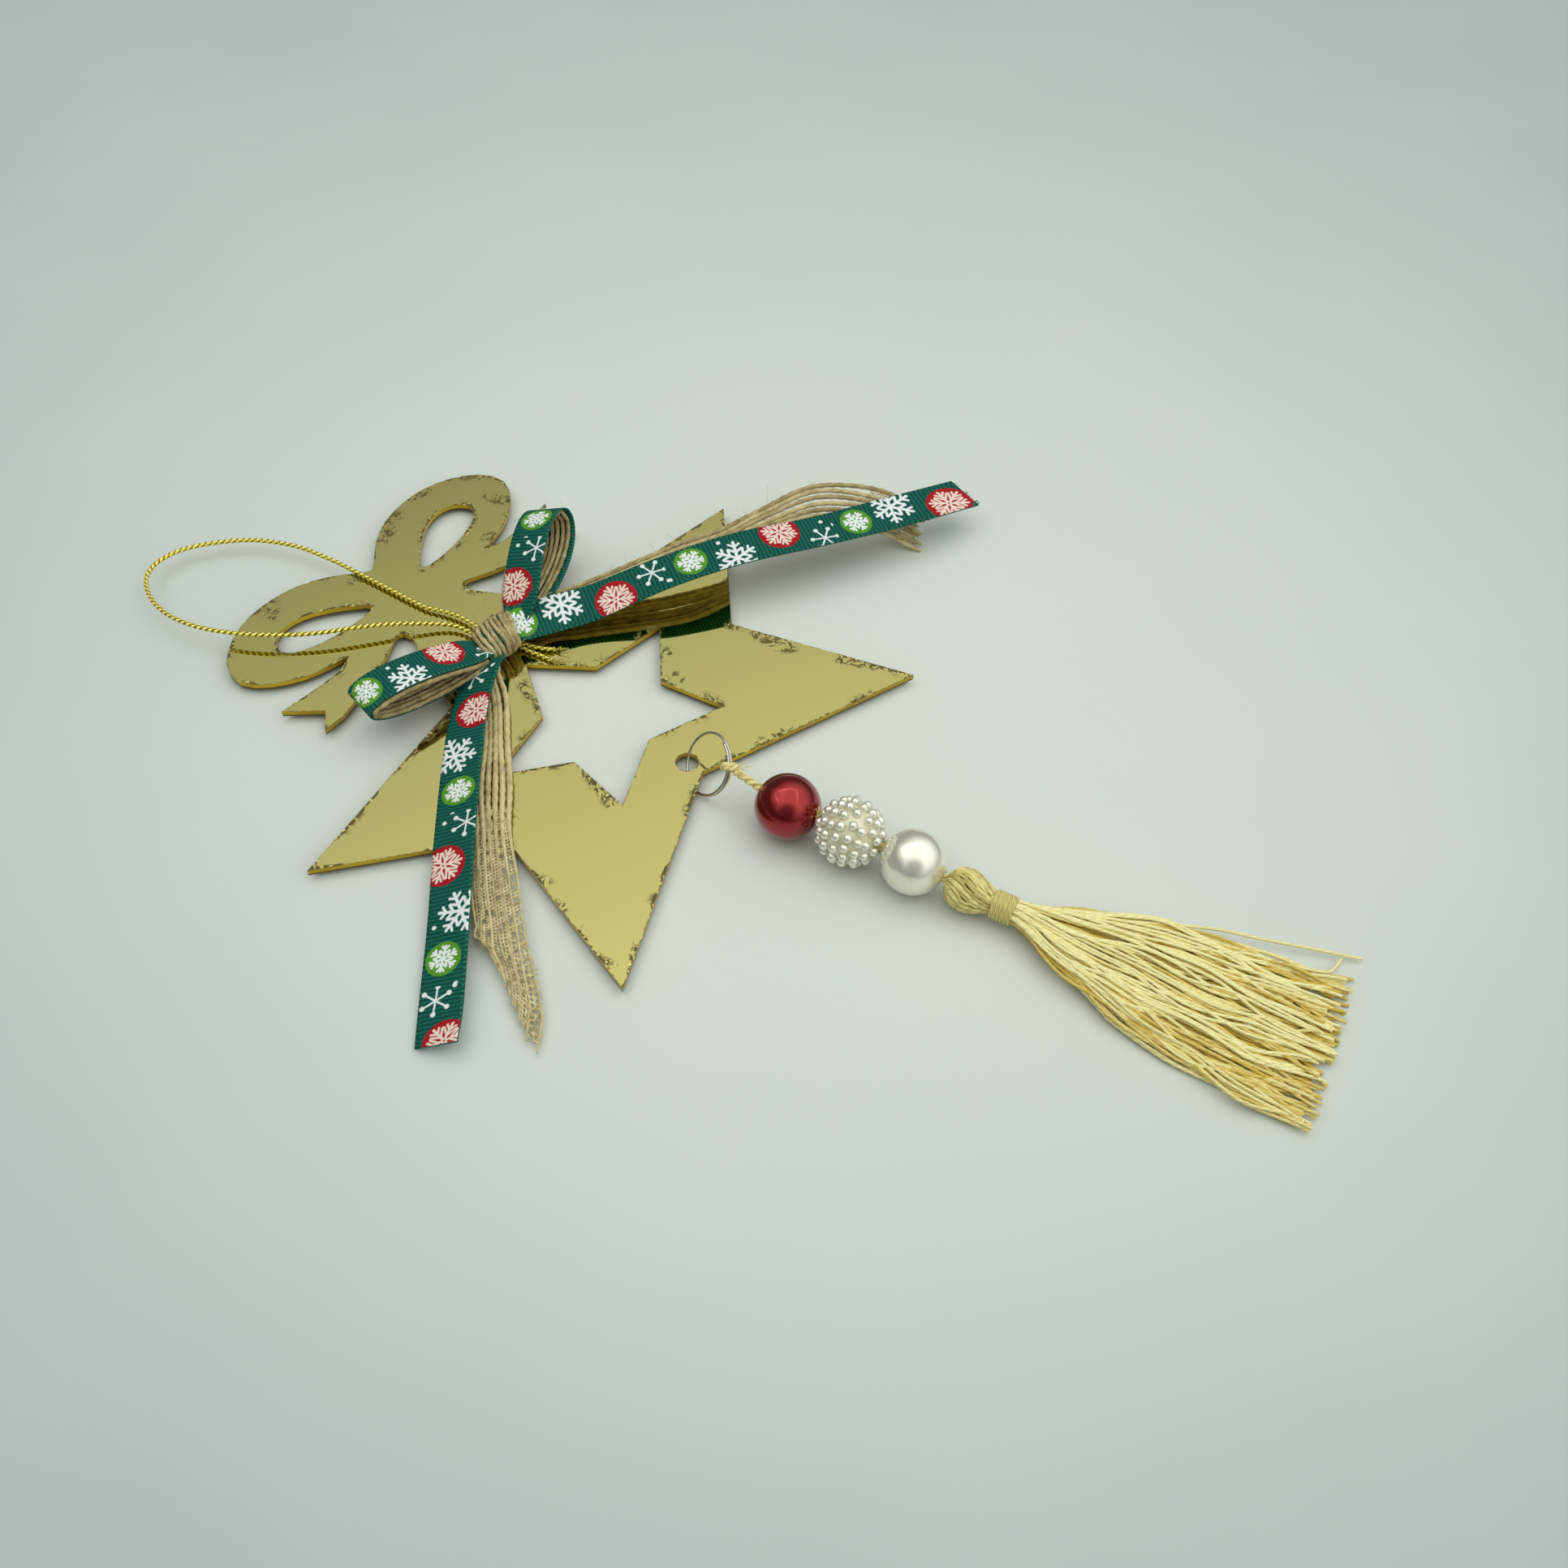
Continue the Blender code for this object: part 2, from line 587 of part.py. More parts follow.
def bead_centres():
    """The middles of the three beads, which lie on the table in a row below the ring."""
    ring = ring_frame()[0]
    onward = heading(STRING_TURN_DEG)
    aside = Vector((-onward.y, onward.x, 0.0))
    spot = Vector((ring.x, ring.y, 0.0)) + onward * RING_TO_BEAD - aside * BEAD_STRING_SHIFT
    cluster = (CLUSTER_CORE_DIAMETER + CLUSTER_PEARL_DIAMETER) / 2.0
    radii = [RED_BEAD_DIAMETER / 2.0, cluster, PEARL_BEAD_DIAMETER / 2.0]
    reaches = [RED_BEAD_DIAMETER / 2.0, CLUSTER_CORE_DIAMETER / 2.0 + 0.3 * MM,
               PEARL_BEAD_DIAMETER / 2.0]
    centres = []
    for index, radius in enumerate(radii):
        if index:
            spot = spot + onward * (reaches[index - 1] + BEAD_GAP + reaches[index])
        centres.append(Vector((spot.x, spot.y, TABLE_Z + radius)))
    return centres


def tassel_axis():
    """The tassel's top on the table plane and its level direction."""
    last = bead_centres()[-1]
    start = last + heading(STRING_TURN_DEG) * (PEARL_BEAD_DIAMETER / 2.0 + BEAD_GAP)
    return Vector((start.x, start.y, TABLE_Z)), heading(TASSEL_TURN_DEG)


def bead_cord_route():
    """From the ring, through the beads, into the tassel's head."""
    top, onward = tassel_axis()
    tie = (ring_point(RING_TIE_DEG) + ring_point(RING_TIE_DEG + 360.0)) / 2.0
    out = (bead_centres()[0] - tie).normalized()
    loop = (RING_WIRE + BEAD_CORD_DIAMETER) / 2.0 + CLEARANCE + RING_PITCH / 2.0
    head = top + onward * TASSEL_HEAD_DIAMETER * 0.4 + Vector((0.0, 0.0, TASSEL_HEAD_DIAMETER * 0.57))
    return [tie + out * loop, *bead_centres(), head]


def bead_cord():
    """The cream cord: a hitch around the ring, and a run that threads the beads."""
    route = bead_cord_route()
    made = mesh_from(tube("bead_cord", route, BEAD_CORD_DIAMETER / 2.0, CREAM_COTTON))
    tie = (ring_point(RING_TIE_DEG) + ring_point(RING_TIE_DEG + 360.0)) / 2.0
    along = (ring_point(RING_TIE_DEG + 2.0) - ring_point(RING_TIE_DEG - 2.0)).normalized()
    turn = along.to_track_quat("Z", "Y").to_matrix()
    radius = (RING_WIRE + BEAD_CORD_DIAMETER) / 2.0 + CLEARANCE + RING_PITCH / 2.0
    hitch = [tie + turn @ p.to_3d() for p in circle(Vector((0.0, 0.0)), radius, 16)]
    wrap = mesh_from(tube("hitch", hitch, BEAD_CORD_DIAMETER / 2.0, CREAM_COTTON, CUTTERS,
                          closed=True), CUTTERS)
    combine(made, as_tool(wrap), "UNION")


def cord_bore(name):
    """A tool along the bead cord, wider than it by the clearance."""
    bore = tube(name, bead_cord_route(), BEAD_CORD_DIAMETER / 2.0 + CLEARANCE, None, CUTTERS,
                resolution=1)
    return as_tool(mesh_from(bore, CUTTERS))


def ball(name, centre, diameter, paint, group=PARTS, segments=20, rings=12):
    """A sphere whose poles lie along the string of beads."""
    shell = bmesh.new()
    bmesh.ops.create_uvsphere(shell, u_segments=segments, v_segments=rings, radius=diameter / 2.0)
    lay = heading(STRING_TURN_DEG).to_track_quat("Z", "Y").to_matrix().to_4x4()
    bmesh.ops.transform(shell, matrix=lay, verts=shell.verts)
    bmesh.ops.translate(shell, vec=centre, verts=shell.verts)
    data = bpy.data.meshes.new(name)
    shell.to_mesh(data)
    shell.free()
    made = add(name, data, paint, group)
    smooth(made, 60.0)
    return made


def cluster_pearls(centre):
    """Small pearls in seven rows over the cluster bead's core."""
    shell = bmesh.new()
    lay = heading(STRING_TURN_DEG).to_track_quat("Z", "Y").to_matrix()
    radius = CLUSTER_CORE_DIAMETER / 2.0
    for row in range(-3, 4):
        latitude = radians(23.0 * row)
        count = round(13 * cos(latitude))
        for step in range(count):
            around = 2.0 * pi * (step + 0.5 * (row % 2)) / count
            outward = Vector((cos(latitude) * cos(around), cos(latitude) * sin(around), sin(latitude)))
            pearl = bmesh.ops.create_icosphere(shell, subdivisions=1,
                                               radius=CLUSTER_PEARL_DIAMETER / 2.0)
            aim = outward.to_track_quat("Z", "Y").to_matrix()
            bmesh.ops.rotate(shell, cent=(0, 0, 0), matrix=aim, verts=pearl["verts"])
            bmesh.ops.translate(shell, vec=outward * radius, verts=pearl["verts"])
    bmesh.ops.transform(shell, matrix=lay.to_4x4(), verts=shell.verts)
    bmesh.ops.translate(shell, vec=centre, verts=shell.verts)
    data = bpy.data.meshes.new("cluster_pearls")
    shell.to_mesh(data)
    shell.free()
    return as_tool(add("cluster_pearls", data, IVORY_PEARL, CUTTERS))


def beads():
    """A red bead, a bead covered with small pearls and a plain pearl bead."""
    red, cluster, pearl = bead_centres()
    pieces = [
        ball("red_bead", red, RED_BEAD_DIAMETER, RED_PEARL),
        ball("pearl_cluster_bead", cluster, CLUSTER_CORE_DIAMETER, IVORY_PEARL, segments=12, rings=8),
        ball("pearl_bead", pearl, PEARL_BEAD_DIAMETER, IVORY_PEARL),
    ]
    combine(pieces[1], cluster_pearls(cluster), "UNION")
    for index, piece in enumerate(pieces):
        combine(piece, cord_bore(f"cord_bore_{index}"), "DIFFERENCE")


def tassel_sections():
    """(distance from the top, half width, half height, height of the middle) along the tassel."""
    head = TASSEL_HEAD_DIAMETER / 2.0
    neck = TASSEL_NECK_DIAMETER / 2.0
    neck_start = head * 2.1
    neck_end = neck_start + TASSEL_NECK_LENGTH
    skirt = TASSEL_LENGTH - neck_end
    sections = []
    for share in (0.0, 0.06, 0.2, 0.4, 0.6, 0.8):
        rise = max(sqrt(max(1.0 - (1.0 - 2.0 * share) ** 2, 0.0)), 0.25)
        width = max(head * rise, neck if share > 0.5 else 0.0)
        sections.append((share * head * 2.0, width, width, head * 1.15))
    sections.append((neck_start, neck, neck, head * 1.02))
    sections.append((neck_end, neck, neck, head * 0.98))
    wide = TASSEL_SPREAD / 2.0
    for share, spread, flat in ((0.04, 0.22, 0.92), (0.12, 0.38, 0.86), (0.24, 0.58, 0.78),
                                (0.42, 0.86, 0.66), (0.66, 0.94, 0.56), (0.88, 0.97, 0.5),
                                (1.0, 1.0, 0.42)):
        half_height = neck * flat
        middle = max(head * (0.98 - 0.75 * share), half_height + CLEARANCE)
        sections.append((neck_end + skirt * share, max(wide * spread, neck), half_height, middle))
    return sections


def tassel():
    """The tassel: a round head, a bound neck and a skirt of threads fanned on the table."""
    top, onward = tassel_axis()
    aside = Vector((-onward.y, onward.x, 0.0))
    around = 20
    shell = bmesh.new()
    loops = []
    for distance, wide, tall, middle in tassel_sections():
        centre = top + onward * distance + Vector((0.0, 0.0, middle))
        loops.append([shell.verts.new(centre + aside * wide * cos(2 * pi * k / around)
                                      + Vector((0.0, 0.0, tall * sin(2 * pi * k / around))))
                      for k in range(around)])
    for first, second in zip(loops, loops[1:]):
        for k in range(around):
            after = (k + 1) % around
            shell.faces.new((first[k], first[after], second[after], second[k]))
    shell.faces.new(list(reversed(loops[0])))
    shell.faces.new(loops[-1])
    bmesh.ops.recalc_face_normals(shell, faces=shell.faces)
    data = bpy.data.meshes.new("tassel")
    shell.to_mesh(data)
    shell.free()
    made = add("tassel", data, CREAM_COTTON)
    combine(made, cord_bore("tassel_bore"), "DIFFERENCE")


def tassel_wrap():
    """The thread wound round the tassel's neck, a turned band with a ridge for each turn."""
    top, onward = tassel_axis()
    head = TASSEL_HEAD_DIAMETER / 2.0
    start = head * 2.1 + 0.8 * MM
    length = TASSEL_NECK_LENGTH - 1.6 * MM
    inner = TASSEL_NECK_DIAMETER / 2.0 + CLEARANCE
    turns = 5
    profile = [(inner, 0.0), (inner, length)]
    for step in range(turns, -1, -1):
        edge = length * step / turns
        if step < turns:
            profile.append((inner + WRAP_THICKNESS, edge + length / turns / 2.0))
        profile.append((inner + WRAP_THICKNESS * 0.55, edge))
    shell = bmesh.new()
    spots = [shell.verts.new((x, 0.0, z)) for x, z in profile]
    for first, second in zip(spots, spots[1:] + spots[:1]):
        shell.edges.new((first, second))
    data = bpy.data.meshes.new("tassel_wrap")
    shell.to_mesh(data)
    shell.free()
    made = add("tassel_wrap", data, CREAM_COTTON)
    turn = made.modifiers.new("turned", "SCREW")
    turn.steps = 14
    turn.render_steps = 14
    turn.use_merge_vertices = True
    turn.merge_threshold = 0.0001 * MM
    centre = top + onward * start + Vector((0.0, 0.0, head * 1.0))
    made.matrix_world = Matrix.Translation(centre) @ onward.to_track_quat("Z", "Y").to_matrix().to_4x4()


star_plate()
split_ring()
green_ribbon()
jute_ribbon()
hanging_cord()
bead_cord()
beads()
tassel()
tassel_wrap()
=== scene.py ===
# %% [markdown]
# # An acrylic star ornament, dressed for a close look
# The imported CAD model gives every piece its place. This lesson replaces its plain solids by
# finer surfaces: a cracked mirror film, a printed ribbon, jute strands, twisted cords, lacquered
# beads and a tassel of single threads. The sheet keeps its shape from the CAD, and every other
# surface is worked out with numpy as a grid of points. Every finish is built from shader nodes
# written as Python sums.

import bmesh
import bpy
import numpy as np
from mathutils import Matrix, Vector


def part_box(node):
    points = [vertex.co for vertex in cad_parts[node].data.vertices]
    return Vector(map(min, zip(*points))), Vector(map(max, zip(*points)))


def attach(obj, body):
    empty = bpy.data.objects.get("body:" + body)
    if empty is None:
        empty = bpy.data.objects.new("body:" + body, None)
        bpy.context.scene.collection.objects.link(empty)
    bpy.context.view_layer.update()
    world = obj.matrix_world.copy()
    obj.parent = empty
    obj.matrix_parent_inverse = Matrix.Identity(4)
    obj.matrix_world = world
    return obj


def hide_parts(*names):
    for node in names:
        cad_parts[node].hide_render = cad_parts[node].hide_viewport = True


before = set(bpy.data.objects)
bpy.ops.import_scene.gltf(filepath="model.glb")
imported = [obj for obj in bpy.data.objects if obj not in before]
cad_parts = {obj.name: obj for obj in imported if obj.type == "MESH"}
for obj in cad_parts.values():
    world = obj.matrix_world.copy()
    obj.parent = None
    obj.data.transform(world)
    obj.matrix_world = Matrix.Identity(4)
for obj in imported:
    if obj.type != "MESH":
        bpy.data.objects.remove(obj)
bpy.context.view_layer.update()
MM = 0.001
FULL_TURN = 2.0 * np.pi

# %% [markdown]
# ## Camera
# The camera stands where the photograph was taken from: a 35 mm lens, 35 cm from the knot, that
# looks down at 52 degrees and is turned a little on its own axis.

# %% Camera
CAMERA_PLACE = (-0.161437, -0.185560, 0.259476)
CAMERA_TURN_DEG = (38.0708, -2.2160, -53.9807)


def linked(name, data):
    """An object of this data, linked to the scene."""
    made = bpy.data.objects.new(name, data)
    bpy.context.scene.collection.objects.link(made)
    return made


camera_data = bpy.data.cameras.new("camera")
camera_data.lens = 35.0
camera_data.sensor_width = 36.0
camera_data.clip_start = 0.01
camera = linked("camera", camera_data)
camera.location = CAMERA_PLACE
camera.rotation_euler = np.radians(CAMERA_TURN_DEG)
bpy.context.scene.camera = camera
bpy.context.scene.view_settings.view_transform = "Standard"

# %% [markdown]
# ## Points, paths and directions
# Five small helpers carry the whole model. One reads a smooth curve through a few points at even
# spacing. Others give the length and the directions along a path, so that any profile can
# follow it, and the last sets heights from the front of the sheet.

# %% Path helpers
SHEET_THICKNESS = 1.5 * MM
TABLE_Z = -1.2 * MM
SPAN_STEPS = 12


def even_path(points, count):
    """A Catmull-Rom curve through the rows, read at evenly spaced places along its length."""
    rows = np.asarray(points, float)
    padded = np.vstack([2 * rows[0] - rows[1], rows, 2 * rows[-1] - rows[-2]])
    place = np.linspace(0, len(rows) - 1, SPAN_STEPS * (len(rows) - 1) + 1)
    index = np.minimum(place.astype(int), len(rows) - 2)
    t = (place - index)[:, None]
    a, b, c, d = (padded[index + k] for k in range(4))
    fine = 0.5 * (2 * b + (c - a) * t + (2 * a - 5 * b + 4 * c - d) * t ** 2
                  + (3 * b - a - 3 * c + d) * t ** 3)
    length = path_length(fine[:, :3])
    even = np.linspace(0, length[-1], count)
    return np.stack([np.interp(even, length, column) for column in fine.T], axis=1)


def path_length(path):
    """Distance from the first point to each point, along the last but one axis."""
    steps = np.linalg.norm(np.diff(path, axis=-2), axis=-1)
    start = np.zeros(steps.shape[:-1] + (1,))
    return np.concatenate([start, np.cumsum(steps, axis=-1)], axis=-1)


def unit(vectors):
    """Each vector divided by its length."""
    return vectors / np.maximum(np.linalg.norm(vectors, axis=-1, keepdims=True), 1e-12)


def path_frame(path, up=(0.0, 0.0, 1.0)):
    """Ahead, side and top directions: side is ahead x up made level, top completes the three."""
    ahead = unit(np.gradient(path, axis=-2))
    side = unit(np.cross(ahead, np.broadcast_to(up, path.shape)))
    return ahead, side, np.cross(side, ahead)


def above_sheet(points):
    """Points in millimetres above the sheet's front, as metres in the model's frame."""
    lifted = np.array(points, float)[..., :3] * MM
    lifted[..., 2] += SHEET_THICKNESS
    return lifted


# %% [markdown]
# ## From a grid of points to a piece
# A piece is a stack of grids: rows run along the piece and columns across or around it. Every
# cell becomes a face. A closed grid joins its last column to its first and gets a cap at each
# end. The UV map holds the distance along the piece in millimetres, and the place across it.

# %% Mesh helpers
def grid_faces(stack, rows, columns, closed):
    """The corners of every cell, and each corner's grid, row and column."""
    k, i, j = np.meshgrid(np.arange(stack), np.arange(rows - 1),
                          np.arange(columns - (not closed)), indexing="ij")
    after = (j + 1) % columns
    first = (k * rows + i) * columns
    second = first + columns
    quads = np.stack([first + j, first + after, second + after, second + j], -1)
    row = np.stack([i, i, i + 1, i + 1], -1)
    column = np.stack([j, j + 1, j + 1, j], -1)
    return quads.ravel(), np.broadcast_to(k[..., None], row.shape).ravel(), row.ravel(), column.ravel()


def new_piece(name, grids, paint, replaced=None, flat=None, shade=None):
    """A mesh object from grids shaped (stack, rows, columns, 3), or from a single grid.

    Flat holds the distance along and the place across of each point of an open grid. Without it
    the grid is closed. Shade holds one value for each grid of the stack, which a paint can read:
    random tone, and on some pieces painted light or shade.
    """
    grids = np.asarray(grids, float)
    grids = grids[None] if grids.ndim == 3 else grids
    stack, rows, columns = grids.shape[:3]
    corners, piece, row, column = grid_faces(stack, rows, columns, flat is None)
    starts = np.arange(0, len(corners), 4)
    if flat is None:
        along = path_length(grids.mean(axis=2)) / MM
        across = np.linspace(0, 1, columns + 1)
        flat = np.stack([along[piece, row], across[column]], -1)
        around = np.arange(columns)
        base = np.arange(stack)[:, None] * rows * columns
        caps = np.concatenate([base + around[::-1], base + (rows - 1) * columns + around])
        starts = np.concatenate([starts, len(corners) + np.arange(len(caps)) * columns])
        corners = np.concatenate([corners, caps.ravel()])
        ends = np.concatenate([along[:, 0], along[:, -1]])
        flat = np.concatenate([flat, np.stack([np.repeat(ends, columns),
                                               np.full(caps.size, 0.5)], -1)])
    else:
        flat = np.stack([np.ravel(values) for values in flat], -1)[corners]
    mesh = bpy.data.meshes.new(name)
    mesh.vertices.add(grids.size // 3)
    mesh.vertices.foreach_set("co", grids.ravel())
    mesh.loops.add(len(corners))
    mesh.loops.foreach_set("vertex_index", corners)
    mesh.polygons.add(len(starts))
    mesh.polygons.foreach_set("loop_start", starts)
    mesh.update(calc_edges=True)
    mesh.validate()
    mesh.uv_layers.new(name="along_across").data.foreach_set("uv", flat.ravel())
    if shade is not None:
        values = np.repeat(shade, rows * columns)
        mesh.attributes.new("shade", "FLOAT", "POINT").data.foreach_set("value", values)
    mesh.shade_smooth()
    return place_piece(name, mesh, paint, replaced)


def place_piece(name, mesh, paint, replaced):
    """An object that rides with the ornament and may stand for a node of the CAD."""
    for each in paint if isinstance(paint, list) else [paint]:
        mesh.materials.append(each)
    made = linked(name, mesh)
    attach(made, "root")
    if replaced:
        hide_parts(replaced)
    print(f"{name}: {len(mesh.polygons)} faces")
    return made


def tubes(path, radius, sides, up=(0.0, 0.0, 1.0), lobes=0, depth=0.0, pitch=1.0, taper=None):
    """Rings of points carried along paths shaped (..., rows, 3).

    A point of a ring is path + radius * (sin a * top - cos a * side). Lobes swell and pinch the
    radius by depth * cos(lobes * (a - turn)), where turn makes one round every pitch of length.
    """
    side, top = path_frame(path, up)[1:]
    angle = np.linspace(0, FULL_TURN, sides, endpoint=False)
    size = np.broadcast_to(radius, path.shape[:-1])[..., None]
    if lobes:
        turn = FULL_TURN * path_length(path)[..., None] / pitch
        size = size * (1.0 + depth * np.cos(lobes * (angle - turn)))
    if taper is not None:
        size = size * np.asarray(taper)[..., None]
    ring = np.cos(angle)[:, None] * -side[..., None, :] + np.sin(angle)[:, None] * top[..., None, :]
    return path[..., None, :] + ring * np.broadcast_to(size, ring.shape[:-1])[..., None]


def coil(path, radius, pitch, strands, up=(0.0, 0.0, 1.0)):
    """Paths that wind round a path at this radius, evenly offset from each other."""
    side, top = path_frame(path, up)[1:]
    start = np.arange(strands)[:, None] * FULL_TURN / strands
    angle = (start + FULL_TURN * path_length(path) / pitch)[..., None]
    return path + radius * (np.cos(angle) * side + np.sin(angle) * top)


def bent_lines(root, reach, start, bend, rows):
    """Short lines that leave their roots: root + reach * (start * t + bend * t squared)."""
    t = np.linspace(0, 1, rows)[None, :, None]
    return root + reach * (start * t + bend * t ** 2)


def thicken(made, thickness):
    """Give an open sheet its thickness, half of it to each side."""
    solidify = made.modifiers.new("thickness", "SOLIDIFY")
    solidify.thickness = thickness
    solidify.offset = 0.0
    return solidify


# %% [markdown]
# ## Shader sums written as Python
# A number in a material is wrapped in a small class, so that maths on it reads like any other
# sum and adds the Math nodes by itself. Each paint below starts from one shader and colours it
# with such sums.

# %% Numbers and paints
def operation(name):
    """A method of Number that adds one Math node of this operation."""
    return lambda number, *others: number.paint.math(name, number, *others)


class Number:
    """One number of a material; + - * / and the named functions add its Math nodes."""

    __add__ = __radd__ = operation("ADD")
    __sub__ = operation("SUBTRACT")
    __mul__ = __rmul__ = operation("MULTIPLY")
    __truediv__ = operation("DIVIDE")
    __abs__ = operation("ABSOLUTE")
    sin = operation("SINE")
    cos = operation("COSINE")
    root = operation("SQRT")
    over = operation("MAXIMUM")
    under = operation("MINIMUM")
    folded = operation("PINGPONG")
    angle = operation("ARCTAN2")
    remainder = operation("FLOORED_MODULO")
    past = operation("GREATER_THAN")
    wrapped = operation("WRAP")

    def __init__(self, paint, socket):
        self.paint = paint
        self.socket = socket

    def __rsub__(self, other):
        return self.paint.math("SUBTRACT", other, self)

    def wave(self, period):
        """A number that goes from 0 to 1 and back once in every period."""
        return (self * (FULL_TURN / period)).sin() * 0.5 + 0.5

    def repeated(self, period):
        """The same number folded into the range from minus to plus half a period."""
        return self.wrapped(period / 2.0, -period / 2.0)

    def step(self, low, high):
        """A smooth step from 0 at low to 1 at high; with low above high it falls."""
        node = self.paint.node("ShaderNodeMapRange", {"interpolation_type": "SMOOTHSTEP"},
                               {"Value": self, "From Min": low, "From Max": high})
        return Number(self.paint, node.outputs["Result"])


def tone(red, green, blue):
    """A linear colour from the 0 to 255 values that a picture shows."""
    shown = np.array([red, green, blue]) / 255.0
    linear = np.where(shown <= 0.04045, shown / 12.92, ((shown + 0.055) / 1.055) ** 2.4)
    return (*linear.tolist(), 1.0)


class Nodes:
    """A tree of shader nodes, and short ways to add to it."""

    def __init__(self, tree):
        self.tree = tree

    def join(self, value, socket):
        """Feed a socket from a wrapped number, from another socket, or with a plain value."""
        if isinstance(value, Number):
            value = value.socket
        if isinstance(value, bpy.types.NodeSocket):
            self.tree.links.new(value, socket)
        else:
            socket.default_value = value

    def node(self, kind, settings=None, inputs=None):
        """A node with its settings made first and its inputs fed after."""
        made = self.tree.nodes.new(kind)
        for name, value in (settings or {}).items():
            setattr(made, name, value)
        for key, value in (inputs or {}).items():
            self.join(value, made.inputs[key])
        return made

    def math(self, operation, *values):
        node = self.node("ShaderNodeMath", {"operation": operation}, dict(enumerate(values)))
        return Number(self, node.outputs[0])


class Paint(Nodes):
    """A material made of one Principled shader and the nodes that feed it."""

    def __init__(self, name, color, roughness, **fixed):
        self.material = bpy.data.materials.new(name)
        self.material.use_nodes = True
        super().__init__(self.material.node_tree)
        self.shader = self.tree.nodes["Principled BSDF"]
        self.feed("Base Color", color)
        self.feed("Roughness", roughness)
        for key, value in fixed.items():
            self.feed(key.replace("_", " "), value)

    def feed(self, name, value):
        self.join(value, self.shader.inputs[name])

    def along_across(self):
        """Distance along the piece in millimetres, and the place across or around it."""
        read = self.node("ShaderNodeUVMap", {"uv_map": "along_across"})
        split = self.node("ShaderNodeSeparateXYZ", None, {0: read.outputs[0]})
        return Number(self, split.outputs[0]), Number(self, split.outputs[1])

    def attribute(self, name):
        """A number stored on the mesh's points."""
        read = self.node("ShaderNodeAttribute", {"attribute_name": name})
        return Number(self, read.outputs["Fac"])

    def place(self):
        """The point's place on the object, in metres."""
        return self.node("ShaderNodeTexCoord").outputs["Object"]

    def x_y_z(self):
        """The same place as three numbers."""
        split = self.node("ShaderNodeSeparateXYZ", None, {0: self.place()})
        return [Number(self, split.outputs[k]) for k in range(3)]

    def vector(self, x, y, z=0.0):
        return self.node("ShaderNodeCombineXYZ", None, {0: x, 1: y, 2: z}).outputs[0]

    def noise(self, per_metre, detail=2.0, rough=0.5, where=None, bend=0.0):
        """Soft noise from about 0.2 to 0.8, with so many cells in a metre of the place."""
        node = self.node("ShaderNodeTexNoise", None,
                         {"Vector": self.place() if where is None else where, "Scale": per_metre,
                          "Detail": detail, "Roughness": rough, "Distortion": bend})
        return Number(self, node.outputs[0])

    def mix(self, share, first, second):
        """The first colour, turning into the second as the share rises to 1."""
        node = self.node("ShaderNodeMix", {"data_type": "RGBA"}, {0: share, 6: first, 7: second})
        return node.outputs[2]

    def bump(self, height, depth, strength=1.0):
        """Tilt the surface as if height, from 0 to 1, rose by this depth in metres."""
        node = self.node("ShaderNodeBump", None,
                         {"Height": height, "Distance": depth, "Strength": strength})
        self.feed("Normal", node.outputs[0])


# %% [markdown]
# ## The table and the light
# The ornament lies on a pale grey-green table under soft light from all round. The table is
# painted lighter in a pool round the ornament and darker away from it: a painted pool of light.
# The world is brightest overhead and towards the tassel, falls off the other way, and has a dark
# patch where the viewer stands. A wide soft lamp adds faint shadows towards the bottom right, and
# three thin strips overhead, the edges of a light box, draw the bright lines seen in the beads.

# %% Table and lights
TABLE_SIZE = 3.0
# Centre and stretch of the pool of light painted on the table
PAINTED_LIGHT_CENTRE = (0.022, -0.090)
LOOK_LEVEL = (0.837, 0.547)
PAINTED_LIGHT_STRETCH = 1.86
TOWARD_VIEWER = (-0.69, -0.45, 0.57)
TOWARD_BRIGHTEST = (0.0, -0.72, 2.05)
WINDOW_PLACE = (-0.25, 0.55, 0.95)
WINDOW_AIM = (0.0, -0.04, 0.0)
WINDOW_SIZE = 1.0
WINDOW_POWER = 1.1
BOX_CORNERS = [(-0.41, 0.02), (-0.13, 0.39), (0.33, -0.12), (0.0, -0.44)]
STRIP_HEIGHT = 0.5
STRIP_WIDTH = 0.008
STRIP_GLOW = 26.0


def table():
    """A wide flat table whose colour holds a painted pool of light round the ornament."""
    paint = Paint("table", tone(206, 212, 204), 0.5, Specular_IOR_Level=0.25)
    x, y = (number - middle for number, middle in zip(paint.x_y_z(), PAINTED_LIGHT_CENTRE))
    deep = (x * LOOK_LEVEL[0] + y * LOOK_LEVEL[1]) * PAINTED_LIGHT_STRETCH + 1.0
    away = (x * x + y * y).root() / deep.over(0.3)
    cloud = paint.noise(14.0, 3.0)
    painted_dim_tone = paint.mix(cloud, tone(175, 185, 180), tone(187, 196, 190))
    painted_lit_tone = paint.mix(cloud, tone(214, 221, 213), tone(219, 224, 217))
    # Painted light: lighter in a pool round the ornament, darker away from it
    paint.feed("Base Color", paint.mix(away.step(0.04, 0.30), painted_lit_tone, painted_dim_tone))
    half = TABLE_SIZE / 2.0
    mesh = bpy.data.meshes.new("table")
    corners = [(-half, -half, TABLE_Z), (half, -half, TABLE_Z), (half, half, TABLE_Z),
               (-half, half, TABLE_Z)]
    mesh.from_pydata(corners, [], [(0, 1, 2, 3)])
    mesh.materials.append(paint.material)
    linked("table", mesh)


def lamp(name, place, turn, power, length, width):
    """A flat lamp of this length and width; without a turn it faces down."""
    data = bpy.data.lights.new(name, "AREA")
    data.shape = "RECTANGLE"
    data.size = length
    data.size_y = width
    data.energy = power
    made = linked(name, data)
    made.location = place
    made.rotation_euler = turn


